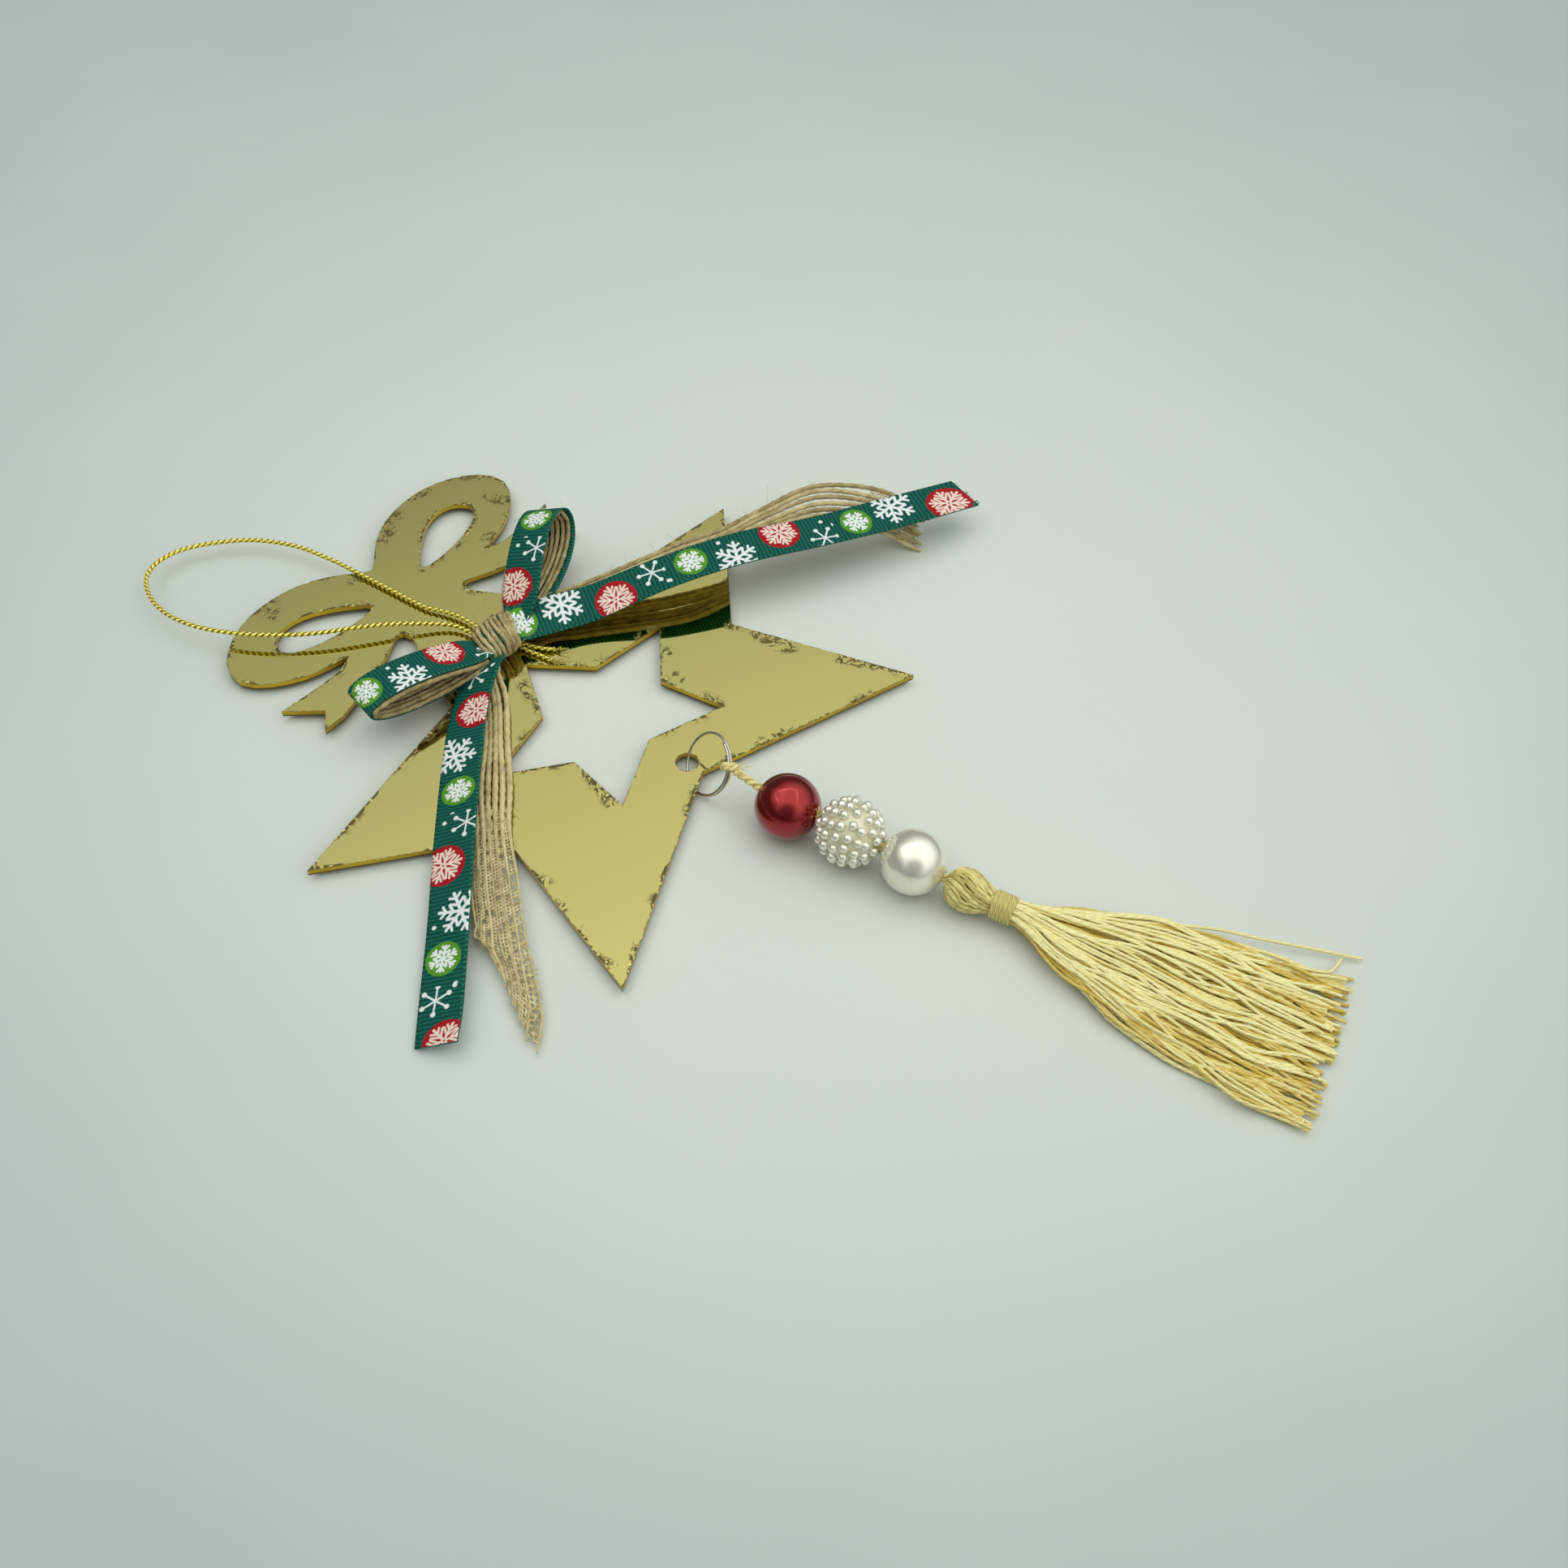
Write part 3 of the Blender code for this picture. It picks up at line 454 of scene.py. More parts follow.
def strip(name, first, last):
    """A long thin lamp between two places overhead, facing down."""
    first, last = Vector((*first, STRIP_HEIGHT)), Vector((*last, STRIP_HEIGHT))
    length = (last - first).length
    turn = (0.0, 0.0, np.arctan2(last.y - first.y, last.x - first.x))
    lamp(name, (first + last) / 2.0, turn, STRIP_GLOW * length * STRIP_WIDTH, length, STRIP_WIDTH)


def daylight():
    """A world that is brighter overhead, darker far off and dark where the viewer stands."""
    world = bpy.data.worlds.new("daylight")
    bpy.context.scene.world = world
    world.use_nodes = True
    sky = Nodes(world.node_tree)
    direction = sky.node("ShaderNodeTexCoord").outputs["Generated"]

    def level(toward, low, high, dim, bright):
        """A share that runs from dim to bright as the direction nears this one."""
        dot = sky.node("ShaderNodeVectorMath", {"operation": "DOT_PRODUCT"}, {0: direction, 1: toward})
        ramp = sky.node("ShaderNodeMapRange", None,
                        {"Value": dot.outputs["Value"], "From Min": low, "From Max": high,
                         "To Min": dim, "To Max": bright})
        return Number(sky, ramp.outputs["Result"])

    both = level(TOWARD_BRIGHTEST, 0.57, 1.72, 0.15, 1.34) * level(TOWARD_VIEWER, 0.82, 0.96, 1.0, 0.25)
    background = sky.tree.nodes["Background"]
    background.inputs["Color"].default_value = (0.97, 1.0, 0.97, 1.0)
    sky.join(both, background.inputs["Strength"])


table()
daylight()
window_turn = (Vector(WINDOW_PLACE) - Vector(WINDOW_AIM)).to_track_quat("Z", "Y").to_euler()
lamp("window", WINDOW_PLACE, window_turn, WINDOW_POWER, WINDOW_SIZE, WINDOW_SIZE)
for k in range(3):
    strip(f"box_edge_{k}", BOX_CORNERS[k], BOX_CORNERS[k + 1])

# %% [markdown]
# ## Gold mirror acrylic
# The sheet is clear acrylic with a gold film behind it. Its shape in the CAD is right, but its
# long triangles can't carry the flaking film, so a copy is cut into small cells and each point
# gets its distance from the nearest edge. Noise that is strongest near the edges then makes the
# dark branching marks, and a list of spots adds those that run further in.

# %% Acrylic star
CELL = 1.5 * MM
WELD = 0.001 * MM
CUT_TOLERANCE = 0.0001 * MM
# Marks that reach further in: (x, y) to (x, y) and radius, in millimetres
FLAKED_SPOTS = [
    (17.0, 50.5, 9.5, 46.5, 2.6), (38.0, 47.0, 44.0, 42.0, 1.8), (36.0, 37.0, 38.5, 32.5, 2.2),
    (24.0, 51.5, 28.5, 50.5, 1.6), (25.5, 27.5, 26.0, 27.0, 2.0), (20.0, 32.0, 19.0, 32.0, 2.2),
    (14.0, 32.0, 8.0, 32.0, 1.6), (-4.0, 41.0, -5.0, 42.0, 1.8), (-9.5, 48.0, -10.0, 48.0, 1.3),
    (-21.5, 51.0, -25.0, 48.0, 1.8), (40.0, -44.0, 41.0, -52.0, 2.3), (38.5, -37.0, 38.8, -39.0, 1.3),
    (45.5, -64.0, 49.5, -73.0, 1.2), (23.0, -30.0, 23.0, -31.0, 1.6), (26.0, -24.0, 26.0, -25.0, 1.5),
    (18.5, -37.0, 18.0, -38.0, 1.5), (17.0, -46.0, 17.5, -49.0, 1.7), (-15.0, -38.0, -18.5, -48.5, 1.7),
    (-43.0, -50.0, -42.5, -51.0, 1.6), (-45.5, -57.0, -45.0, -58.0, 1.6), (-50.0, -72.0, -49.5, -74.0, 1.6),
    (-5.0, -11.0, -9.0, -21.0, 1.2), (11.0, -20.0, 11.5, -20.0, 1.3), (21.0, -66.5, 18.5, -65.5, 1.4),
    (14.0, -64.0, 14.5, -63.5, 1.4), (5.5, -60.5, 6.0, -60.0, 1.3),
]


def nearest(points, ends):
    """How far each point is from each of the straight lines, given by their two ends."""
    start, run = ends[:, 0], ends[:, 1] - ends[:, 0]
    share = ((points[:, None] - start) * run).sum(-1) / np.maximum((run ** 2).sum(-1), 1e-12)
    return np.linalg.norm(points[:, None] - start - np.clip(share, 0, 1)[..., None] * run, axis=-1)


def fine_plate():
    """A copy of the sheet's mesh, cut into cells, with each point's distance from the edge."""
    shell = bmesh.new()
    shell.from_mesh(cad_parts["star_plate"].data)
    bmesh.ops.remove_doubles(shell, verts=shell.verts, dist=WELD)
    rim = [edge for edge in shell.edges if len(edge.link_faces) == 2
           and np.ptp([abs(face.normal.z) for face in edge.link_faces]) > 0.5]
    ends = np.array([[vert.co[:2] for vert in edge.verts] for edge in rim])
    low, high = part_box("star_plate")
    for axis, normal in enumerate((Vector((1.0, 0.0, 0.0)), Vector((0.0, 1.0, 0.0)))):
        for spot in np.arange(low[axis] + CELL / 2.0, high[axis], CELL):
            bmesh.ops.bisect_plane(shell, geom=shell.verts[:] + shell.edges[:] + shell.faces[:],
                                   plane_co=normal * float(spot), plane_no=normal,
                                   dist=CUT_TOLERANCE)
    for face in shell.faces:
        face.material_index = int(abs(face.normal.z) < 0.5)
    mesh = bpy.data.meshes.new("acrylic_star")
    shell.to_mesh(mesh)
    shell.free()
    flat = np.zeros(len(mesh.vertices) * 3)
    mesh.vertices.foreach_get("co", flat)
    flat = flat.reshape(-1, 3)[:, :2] / MM
    distance = nearest(flat, ends / MM).min(axis=1)
    spots = np.array(FLAKED_SPOTS)
    flaked = np.clip(1.0 - nearest(flat, spots[:, :4].reshape(-1, 2, 2)) / spots[:, 4], 0, 1).max(axis=1)
    for name, values in (("edge_distance", distance), ("flaked", flaked)):
        mesh.attributes.new(name, "FLOAT", "POINT").data.foreach_set("value", values)
    return mesh


def mirror_film():
    """Gold mirror; near the edges the film is cracked, dark where it is gone, with painted glints as bright
    flecks.
    """
    gold = tone(198, 189, 117)
    paint = Paint("gold_mirror_film", gold, 0.05, Metallic=1.0)
    distance = paint.attribute("edge_distance")
    flaked = paint.attribute("flaked")
    grain = paint.noise(900.0, 3.0, 0.6)
    islands = paint.noise(170.0, 2.0)
    veins = abs(paint.noise(330.0, 4.0, 0.6, bend=1.0) - 0.5)
    reach = (distance.step(2.2, 0.3) * islands.step(0.52, 0.62)).over(flaked.step(0.0, 0.4))
    cracks = veins.step(0.065, 0.035) * reach * grain.step(0.36, 0.46)
    width = islands.step(0.44, 0.62) * 0.6 + 0.09
    # The dark line along each edge: part worn film, part painted reflection of the acrylic's cut edge
    rim = (distance - width).step(0.15, -0.06)
    marks = cracks.over(rim * grain.step(0.42, 0.50)).under(1.0)
    # Painted glints: bright flecks just inside the edge line
    painted_glints = (distance - width * 1.5).step(0.1, -0.1) * paint.noise(1100.0, 1.0).step(0.64, 0.70)
    dull = paint.mix(marks, gold, tone(92, 82, 32))
    paint.feed("Base Color", paint.mix(painted_glints * 0.7, dull, tone(250, 232, 138)))
    paint.feed("Roughness", marks * 0.5 + painted_glints * 0.2 + 0.05)
    paint.feed("Metallic", 1.0 - marks * 0.7)
    return paint.material


def cut_wall():
    """The laser-cut wall: smooth amber, with a dark line at the foot where the film ends."""
    paint = Paint("amber_cut_edge", tone(190, 150, 16), 0.18, Metallic=0.5)
    z = paint.x_y_z()[2]
    cloud = paint.noise(60.0, 2.0)
    amber = paint.mix(cloud.step(0.3, 0.7), tone(176, 140, 6), tone(208, 172, 18))
    paint.feed("Base Color", paint.mix(z.step(0.58 * MM, 0.20 * MM), amber, tone(84, 60, 8)))
    return paint.material


place_piece("acrylic_star", fine_plate(), [mirror_film(), cut_wall()],
            "star_plate")

# %% [markdown]
# ## Split ring
# A split ring is a coil of a little over one turn of steel wire. It hangs through the sheet's
# hole, half above and half below, and its point is a circle's point pushed slowly along the
# ring's own axis.

# %% Split ring
HOLE_CENTRE = np.array([0.0, -54.537, 0.0]) * MM
RING_RADIUS = 6.75 * MM
RING_WIRE = 0.6 * MM
RING_PITCH = 0.72 * MM
RING_FLAT = unit(np.array([0.44, 0.90, 0.0]))
RING_LEAN = np.array([0.50, -0.25, 0.83])
RING_STEEP = unit(RING_LEAN - RING_FLAT * (RING_LEAN @ RING_FLAT))
RING_AXIS = np.cross(RING_FLAT, RING_STEEP)


def ring_centre():
    """The ring stands on the table and passes through the hole at half the sheet's thickness."""
    height = TABLE_Z + RING_WIRE / 2.0 + RING_RADIUS * RING_STEEP[2]
    crossing = np.arcsin((SHEET_THICKNESS / 2.0 - height) / (RING_RADIUS * RING_STEEP[2]))
    reach = RING_FLAT * np.cos(crossing) + RING_STEEP * np.sin(crossing)
    centre = HOLE_CENTRE - reach * RING_RADIUS
    return np.array([centre[0], centre[1], height])


def ring_point(degrees):
    """Points of the wire: a circle that moves along its axis as it turns."""
    angle = np.radians(np.asarray(degrees, float))[..., None]
    lift = RING_PITCH * (np.asarray(degrees)[..., None] - 270.0) / 360.0
    circle = RING_FLAT * np.cos(angle) + RING_STEEP * np.sin(angle)
    return ring_centre() + circle * RING_RADIUS + RING_AXIS * lift


def steel():
    """Plain drawn wire with fine lengthwise marks."""
    paint = Paint("drawn_steel", tone(166, 162, 152), 0.20, Metallic=1.0)
    along, around = paint.along_across()
    lines = paint.noise(1.0, 3.0, 0.6, where=paint.vector(along * 0.3, around * 14.0))
    paint.feed("Roughness", lines * 0.1 + 0.26)
    paint.feed("Base Color", paint.mix(lines, tone(186, 182, 168), tone(214, 211, 198)))
    return paint.material


wire = ring_point(np.linspace(95.0, 599.0, 150))
new_piece("split_ring_wire", tubes(wire, RING_WIRE / 2.0, 14, up=RING_AXIS), steel(),
          "split_ring")

# %% [markdown]
# ## Printed green ribbon
# The ribbon is grosgrain: fine ribs run across it. Each stretch is a sheet of points, its rows
# along the route and its columns from the left edge to the right, thickened by Solidify. The
# UV map holds millimetres of ribbon, so one paint prints all four stretches: the print repeats
# every 84 mm with two green circles, two red circles, two broad flakes and two thin ones.

# %% Ribbon print
PRINT_REPEAT = 84.0
RIB_PITCH = 0.95
INK_SOFT = 0.12


def flake(x, y, turn_deg, strokes):
    """Ink of a six-armed snowflake: the plane is folded into half of one arm, and drawn on there.

    A stroke has its start on the arm, its length, its lean from the arm in degrees, and its width.
    """
    radius = (x * x + y * y).root()
    folded = (y.angle(x) + np.radians(turn_deg)).folded(np.pi / 6.0)
    out = radius * folded.cos()
    off = radius * folded.sin()
    ink = None
    for start, length, lean_deg, width in strokes:
        lean = np.radians(lean_deg)
        along = (out - start) * np.cos(lean) + off * np.sin(lean)
        aside = (out - start) * np.sin(lean) - off * np.cos(lean)
        past = (abs(along - length / 2.0) - length / 2.0).over(0.0)
        outside = (past * past + aside * aside).root()
        mark = outside.step(width / 2.0 + INK_SOFT, width / 2.0 - INK_SOFT)
        ink = ink.over(mark) if ink else mark
    return ink


def printed_cloth():
    """Teal grosgrain with its print in white, cream, red and light green; its rib grooves get painted
    shade.
    """
    paint = Paint("printed_grosgrain", tone(10, 92, 78), 0.7, Specular_IOR_Level=0.18)
    along, across = paint.along_across()
    wobble = paint.noise(260.0, 3.0) - 0.5
    place_in_print = along.remainder(PRINT_REPEAT)
    second = place_in_print.past(PRINT_REPEAT / 2.0 - 5.0) - place_in_print.past(PRINT_REPEAT - 5.0)

    def spot(place, first, other):
        """Distances along and across from a motif that sits at two places across in turn."""
        x = (along - place).repeated(PRINT_REPEAT / 2.0) + wobble * 0.25
        y = across - first - second * (other - first) + wobble * 0.2
        return x, y

    def disc(x, y, size):
        return (x * x + y * y).root().step(size / 2.0 + 0.1, size / 2.0 - 0.1)

    x, y = spot(1.2, 0.0, 0.4)
    green = disc(x, y, 7.9)
    white = flake(x, y, 8.0, [(0.0, 2.9, 0.0, 0.55), (1.0, 1.3, 50.0, 0.50), (2.0, 1.1, 42.0, 0.50)])
    x, y = spot(11.6, 1.8, -2.8)
    white = white.over(flake(x, y, 38.0, [(0.3, 4.7, 0.0, 0.72), (1.8, 1.9, 55.0, 0.64),
                                          (3.5, 1.5, 55.0, 0.60)]))
    x, y = spot(23.8, -1.8, 2.0)
    red = disc(x, y, 10.0)
    cream = flake(x, y, 20.0, [(0.5, 3.6, 0.0, 0.58), (1.2, 2.3, 40.0, 0.50), (2.4, 1.6, 40.0, 0.48)])
    x, y = spot(33.8, 1.2, -2.6)
    white = white.over(flake(x, y, 5.0, [(0.0, 3.0, 0.0, 0.40), (3.1, 0.0, 0.0, 1.10)]))
    for place, first, other in ((36.6, -2.7, -9.0), (34.9, 9.0, 2.6), (9.0, 9.0, 3.1)):
        white = white.over(disc(*spot(place, first, other), 1.0))

    rib = along.wave(RIB_PITCH)
    edge = abs(across).step(4.1, 4.5)
    weave = rib * (1.0 - edge * 0.7) + paint.noise(2500.0, 2.0) * 0.35
    # Painted shade: the cloth is darker in the grooves between the ribs; the noise adds random tone.
    cloth = paint.mix(weave.step(0.15, 1.1), tone(0, 66, 58), tone(10, 98, 84))
    stitch = edge * (along * (FULL_TURN / 1.3)).sin().step(0.2, 0.7)
    cloth = paint.mix(stitch * 0.45, cloth, tone(70, 160, 128))
    color = paint.mix(green, cloth, tone(84, 150, 36))
    color = paint.mix(red, color, tone(168, 18, 28))
    color = paint.mix(cream, color, tone(240, 218, 202))
    color = paint.mix(white, color, tone(234, 238, 238))
    paint.feed("Base Color", color)
    paint.bump(weave, 0.10 * MM, 0.6)
    return paint.material


def cloth_back():
    """The ribbon's unprinted back, with the same ribs, painted darker in their grooves as shade."""
    paint = Paint("grosgrain_back", tone(8, 84, 70), 0.7, Specular_IOR_Level=0.2)
    along = paint.along_across()[0]
    rib = along.wave(RIB_PITCH)
    # Painted shade in the grooves between the ribs
    cloth = paint.mix(rib, tone(4, 66, 56), tone(28, 124, 104))
    paint.feed("Base Color", cloth)
    paint.bump(rib, 0.10 * MM, 0.6)
    return paint.material


PRINTED_CLOTH = printed_cloth()
CLOTH_BACK = cloth_back()

# %% [markdown]
# The tails follow the same points as the CAD: across, up, height of the middle above the sheet,
# and roll. A first point inside the knot hides where they begin. The loops are teardrops, set at
# the knot by four turns. Two short lists pair distances along the ribbon with places in the print.

# %% Ribbon tails
RIBBON_WIDTH = 9.5 * MM
RIBBON_THICKNESS = 0.5 * MM
CLOTH_THICKNESS = 0.38 * MM
SLANT_LENGTH = 8.0 * MM
GREEN_RIGHT_TAIL = [
    (1.4, -0.3, 3.8, 14), (4.5, -1.5, 5.1, 14), (13.2, -5.9, 4.6, 16), (21.0, -10.6, 4.9, 12),
    (35.8, -19.8, 8.6, 4), (51.9, -29.6, 10.2, 5), (68.4, -40.0, 9.4, 3), (86.9, -49.9, 8.0, 8),
    (106.4, -58.6, 5.5, 6),
]
GREEN_DOWN_TAIL = [
    (-1.4, -0.4, 1.4, 12), (-4.0, -2.2, 2.8, 20), (-10.6, -4.9, 4.6, 28), (-20.0, -10.0, 3.4, 25),
    (-29.0, -16.4, 2.7, 22), (-45.9, -30.1, 2.6, 22), (-61.5, -43.0, 1.2, 23), (-76.1, -54.7, -0.1, 20),
    (-82.6, -59.8, 0.3, 26),
]


def tail_directions(route, rows):
    """A tail's middle line, the direction to its left edge, and ahead, all along the route."""
    path = even_path(route, rows)
    middle = above_sheet(path)
    ahead, side, top = path_frame(middle)
    roll = np.radians(path[:, 3:])
    return middle, -side * np.cos(roll) + top * np.sin(roll), ahead


def printed(name, surface, on_ribbon, in_print, slant=0.0):
    """A sheet of ribbon with the print placed on it by matched distances in millimetres."""
    rows, columns = surface.shape[:2]
    half = RIBBON_WIDTH / 2.0
    across = np.broadcast_to(np.linspace(half, -half, columns) / MM, (rows, columns))
    along = path_length(surface.mean(axis=1))[:, None] / MM + slant / MM * np.ones(columns)
    face_up = np.sign(in_print[-1] - in_print[0])
    made = new_piece(name, surface, [PRINTED_CLOTH, CLOTH_BACK], "green_ribbon",
                     flat=(np.interp(along, on_ribbon, in_print), across * face_up))
    solidify = thicken(made, CLOTH_THICKNESS)
    solidify.material_offset = 1
    solidify.material_offset_rim = 1


def ribbon_tail(name, route, cut, root, on_ribbon, in_print, rows=260, columns=15):
    """A tail drawn in at its root and cut at a slant over its last few millimetres.

    The root holds the share of the width that is left in the knot and the length it takes up.
    """
    middle, left, ahead = tail_directions(route, rows)
    length = path_length(middle)
    across = np.linspace(1.0, -1.0, columns)[:, None]
    out = np.clip(length / (root[1] * MM), 0, 1)
    width = RIBBON_WIDTH * (1.0 - (1.0 - root[0]) * (1.0 - out * (2.0 - out)))
    surface = middle[:, None] + left[:, None] * across * width[:, None, None] / 2.0
    near_end = np.clip(1.0 - (length[-1] - length) / SLANT_LENGTH, 0, 1)
    slant = -cut * across[None, :, 0] * (near_end ** 2)[:, None]
    surface = surface + ahead[:, None] * slant[..., None]
    printed(name, surface, on_ribbon, in_print, slant)
    return surface


right_surface = ribbon_tail("green_right_tail", GREEN_RIGHT_TAIL, 1.1 * MM, (0.6, 6.0),
                            (0.0, 99.8, 115.2, 121.5), (-3.5, 95.6, 107.8, 112.5))
ribbon_tail("green_down_tail", GREEN_DOWN_TAIL, -0.5 * MM, (0.3, 13.0), (0.0, 110.0), (46.7, -69.3))

# %% Ribbon loops
KNOT_CENTRE = np.array([0.0, 0.0, 5.35]) * MM
UPPER_LOOP = {"turn": 25.7, "rise": 10.3, "roll": -20.0, "reach": 38.8, "height": 12.9,
              "point": 1.4, "root": (0.0, -3.5, -1.1), "offset": -0.8}
LEFT_LOOP = {"turn": 165.3, "rise": 6.0, "roll": 5.0, "reach": 39.0, "height": 7.6,
             "point": 0.9, "root": (1.9, -3.0, -0.1), "offset": -0.7}
LOOP_START = 5.6 * MM
LOOP_SPARE = 0.12
TEARDROP_FULLNESS = 1.24
GATHER_LENGTH = 15.0 * MM
GREEN_GATHER = 0.42


def turned(degrees, axis):
    """The matrix of a turn about X, Y or Z."""
    c, s = np.cos(np.radians(degrees)), np.sin(np.radians(degrees))
    first, second = [(1, 2), (2, 0), (0, 1)]["XYZ".index(axis)]
    matrix = np.eye(3)
    matrix[[first, second], [first, second]] = c
    matrix[second, first] = s
    matrix[first, second] = -s
    return matrix


def at_knot(loop, points):
    """From a loop's own X, Y and Z to its place at the knot."""
    turns = turned(loop["turn"], "Z") @ turned(-loop["rise"], "Y") @ turned(loop["roll"], "X")
    turns = turns @ turned(90.0, "X")
    return points @ turns.T + KNOT_CENTRE + np.array(loop["root"]) * MM


def teardrop(loop, inset, start, rows, spare):
    """Along = start to reach as (1 - cos a) / 2; aside = height * sin a * |sin a/2| ** point.

    Spare is the angle left out at each end, where the strip goes into the knot.
    """
    angle = np.linspace(spare, FULL_TURN - spare, rows)
    reach = loop["reach"] * MM - inset
    height = loop["height"] * MM - 2.0 * inset
    along = start + (reach - start) * (1.0 - np.cos(angle)) / 2.0
    aside = height / 2.0 * TEARDROP_FULLNESS * np.sin(angle) * np.abs(np.sin(angle / 2.0)) ** loop["point"]
    return along, aside


def gathered(along, share):
    """Half of the ribbon's width, drawn in to this share where the loop meets the knot."""
    past = np.clip((along - LOOP_START) / (GATHER_LENGTH - LOOP_START), 0, 1)
    return RIBBON_WIDTH / 2.0 * (1.0 - (1.0 - share) * (1.0 - past * (2.0 - past)))


def ribbon_loop(name, loop, on_ribbon, in_print, rows=200, columns=15):
    """A loop of ribbon: its teardrop carried across the ribbon's width."""
    along, aside = teardrop(loop, RIBBON_THICKNESS / 2.0, LOOP_START, rows, LOOP_SPARE)
    across = np.linspace(-1.0, 1.0, columns) * gathered(along, GREEN_GATHER)[:, None]
    surface = np.stack([np.broadcast_to(along[:, None], across.shape),
                        np.broadcast_to(aside[:, None], across.shape), across], -1)
    printed(name, at_knot(loop, surface), on_ribbon, in_print)


ribbon_loop("green_upper_loop", UPPER_LOOP, (0.0, 100.0), (55.5, 162.5))
ribbon_loop("green_left_loop", LEFT_LOOP, (0.0, 100.0), (78.3, -33.7))

# %% [markdown]
# ## Jute ribbon
# Jute ribbon is a row of loose twisted strands. Each strand is a two-ply tube carried along the
# ribbon's route, with a small wander of its own, so that gaps open between strands as they do
# on the real one. Fine fibres stand off the strands.

# %% Jute strands
JUTE_STRANDS = 7
JUTE_WIDTH = 9.4 * MM
STRAND_RADIUS = 0.6 * MM
STRAND_PITCH = 5.2 * MM
GAUZE_THICKNESS = 0.3 * MM
LINING_SPARE = 0.66
rng = np.random.default_rng(7)
JUTE_RIGHT_TAIL = [
    (3.0, 0.5, 3.0, 0), (13.0, -2.2, 3.2, 4), (21.0, -7.6, 3.7, 4), (40.0, -18.6, 7.8, 2),
    (53.4, -24.6, 8.8, 2), (65.0, -28.6, 9.2, 4), (77.5, -35.0, 9.4, 20), (87.6, -45.8, 5.6, 38),
    (92.6, -55.0, 0.4, 30),
]
JUTE_DOWN_TAIL = [
    (-3.5, -0.5, 3.0, 0), (-9.1, -3.6, 2.2, 2), (-14.6, -10.3, 1.4, 3), (-21.1, -16.7, 1.2, 3),
    (-37.4, -31.5, 1.2, 3), (-48.4, -42.9, 0.7, 3), (-58.5, -54.2, -0.2, 3),
    (-65.4, -63.2, -0.9, 2), (-74.4, -72.8, -1.7, 0),
]


def jute():
    """Tan plant fibre, streaked along a slow twist."""
    paint = Paint("jute_strand", tone(206, 190, 140), 0.9, Specular_IOR_Level=0.2)
    along, around = paint.along_across()
    shade = paint.attribute("shade")
    lean = along / (STRAND_PITCH / MM) + around
    fibre = paint.noise(1.0, 4.0, 0.7, where=paint.vector(along * 0.6, lean * 22.0, shade * 40.0))
    patch = paint.noise(380.0, 3.0)
    # The shade value is each strand's random tone, raised on the tails as painted light.
    light = fibre * 0.95 + patch * 0.6 + shade * 0.22 - 0.34
    color = paint.mix(light.step(0.2, 0.85), tone(118, 100, 56), tone(226, 210, 156))
    paint.feed("Base Color", color)
    paint.bump(fibre, 0.16 * MM, 0.9)
    return paint.material


def gauze():
    """Open woven jute: fine threads along and across with holes between them."""
    paint = Paint("jute_gauze", tone(214, 198, 148), 0.9, Specular_IOR_Level=0.2)
    along, across = paint.along_across()
    wobble = paint.noise(420.0, 3.0) - 0.5
    lengthwise = abs((across + wobble * 0.5).repeated(0.66)).step(0.20, 0.08)
    crosswise = abs((along + across * 0.4 + wobble * 0.9).repeated(0.80)).step(0.24, 0.10)
    patch = paint.noise(700.0, 3.0)
    cloth = lengthwise.over(crosswise) * patch.step(0.34, 0.46)
    paint.feed("Alpha", cloth)
    paint.feed("Base Color", paint.mix(patch.step(0.3, 0.7), tone(160, 144, 92), tone(220, 206, 158)))
    return paint.material


def wander(stack, rows, size, knots=9):
    """Smooth random drifts, one for each strand: random values joined by a rounded curve."""
    values = rng.normal(0.0, size, (stack, knots))
    place = np.linspace(0, knots - 1, rows)
    index = np.minimum(place.astype(int), knots - 2)
    t = place - index
    t = t * t * (3.0 - 2.0 * t)
    return values[:, index] * (1.0 - t) + values[:, index + 1] * t


JUTE = jute()
GAUZE = gauze()


def strand_piece(name, paths, radius, up=(0.0, 0.0, 1.0), taper=None, sides=9, painted_light=0.0):
    """Two-ply strands along these paths as one piece."""
    grids = tubes(paths, radius, sides, up, lobes=2, depth=0.10, pitch=STRAND_PITCH, taper=taper)
    # Painted light: this offset lifts the shade of all the piece's strands, painting them lighter.
    shade = rng.uniform(0.0, 1.0, len(paths)) + painted_light
    new_piece(name, grids, JUTE, "jute_ribbon", shade=shade)
    return paths, grids


def jute_tail(name, route, stations, shares, ends, thin, painted_light, rows=240):
    """Strands side by side along a tail; shares give the width along it, from 0 to 1."""
    middle, left, ahead = tail_directions(route, rows)
    along = np.linspace(0, 1, rows)
    share = np.interp(along, stations, shares)
    place = np.linspace(1.0, -1.0, JUTE_STRANDS)[:, None] * (JUTE_WIDTH / 2.0 - STRAND_RADIUS)
    lateral = place * share + wander(JUTE_STRANDS, rows, 0.20 * MM)
    rise = wander(JUTE_STRANDS, rows, 0.10 * MM) + (1.0 - share) * wander(JUTE_STRANDS, rows, 0.3 * MM)
    paths = middle + left * lateral[..., None]
    paths[..., 2] = np.maximum(paths[..., 2] + rise, TABLE_Z + 0.5 * MM)
    cut = np.array(ends)[:, None] * MM * np.clip((along - 0.7) / 0.3, 0, 1)
    paths = paths + ahead * cut[..., None]
    size = np.interp(along, (0.0, 0.42, 0.6, 0.97, 1.0), (1.0, 1.0, thin, thin, thin * 0.6))
    return strand_piece(name, paths, STRAND_RADIUS, taper=np.broadcast_to(size, paths.shape[:2]),
                        painted_light=painted_light)


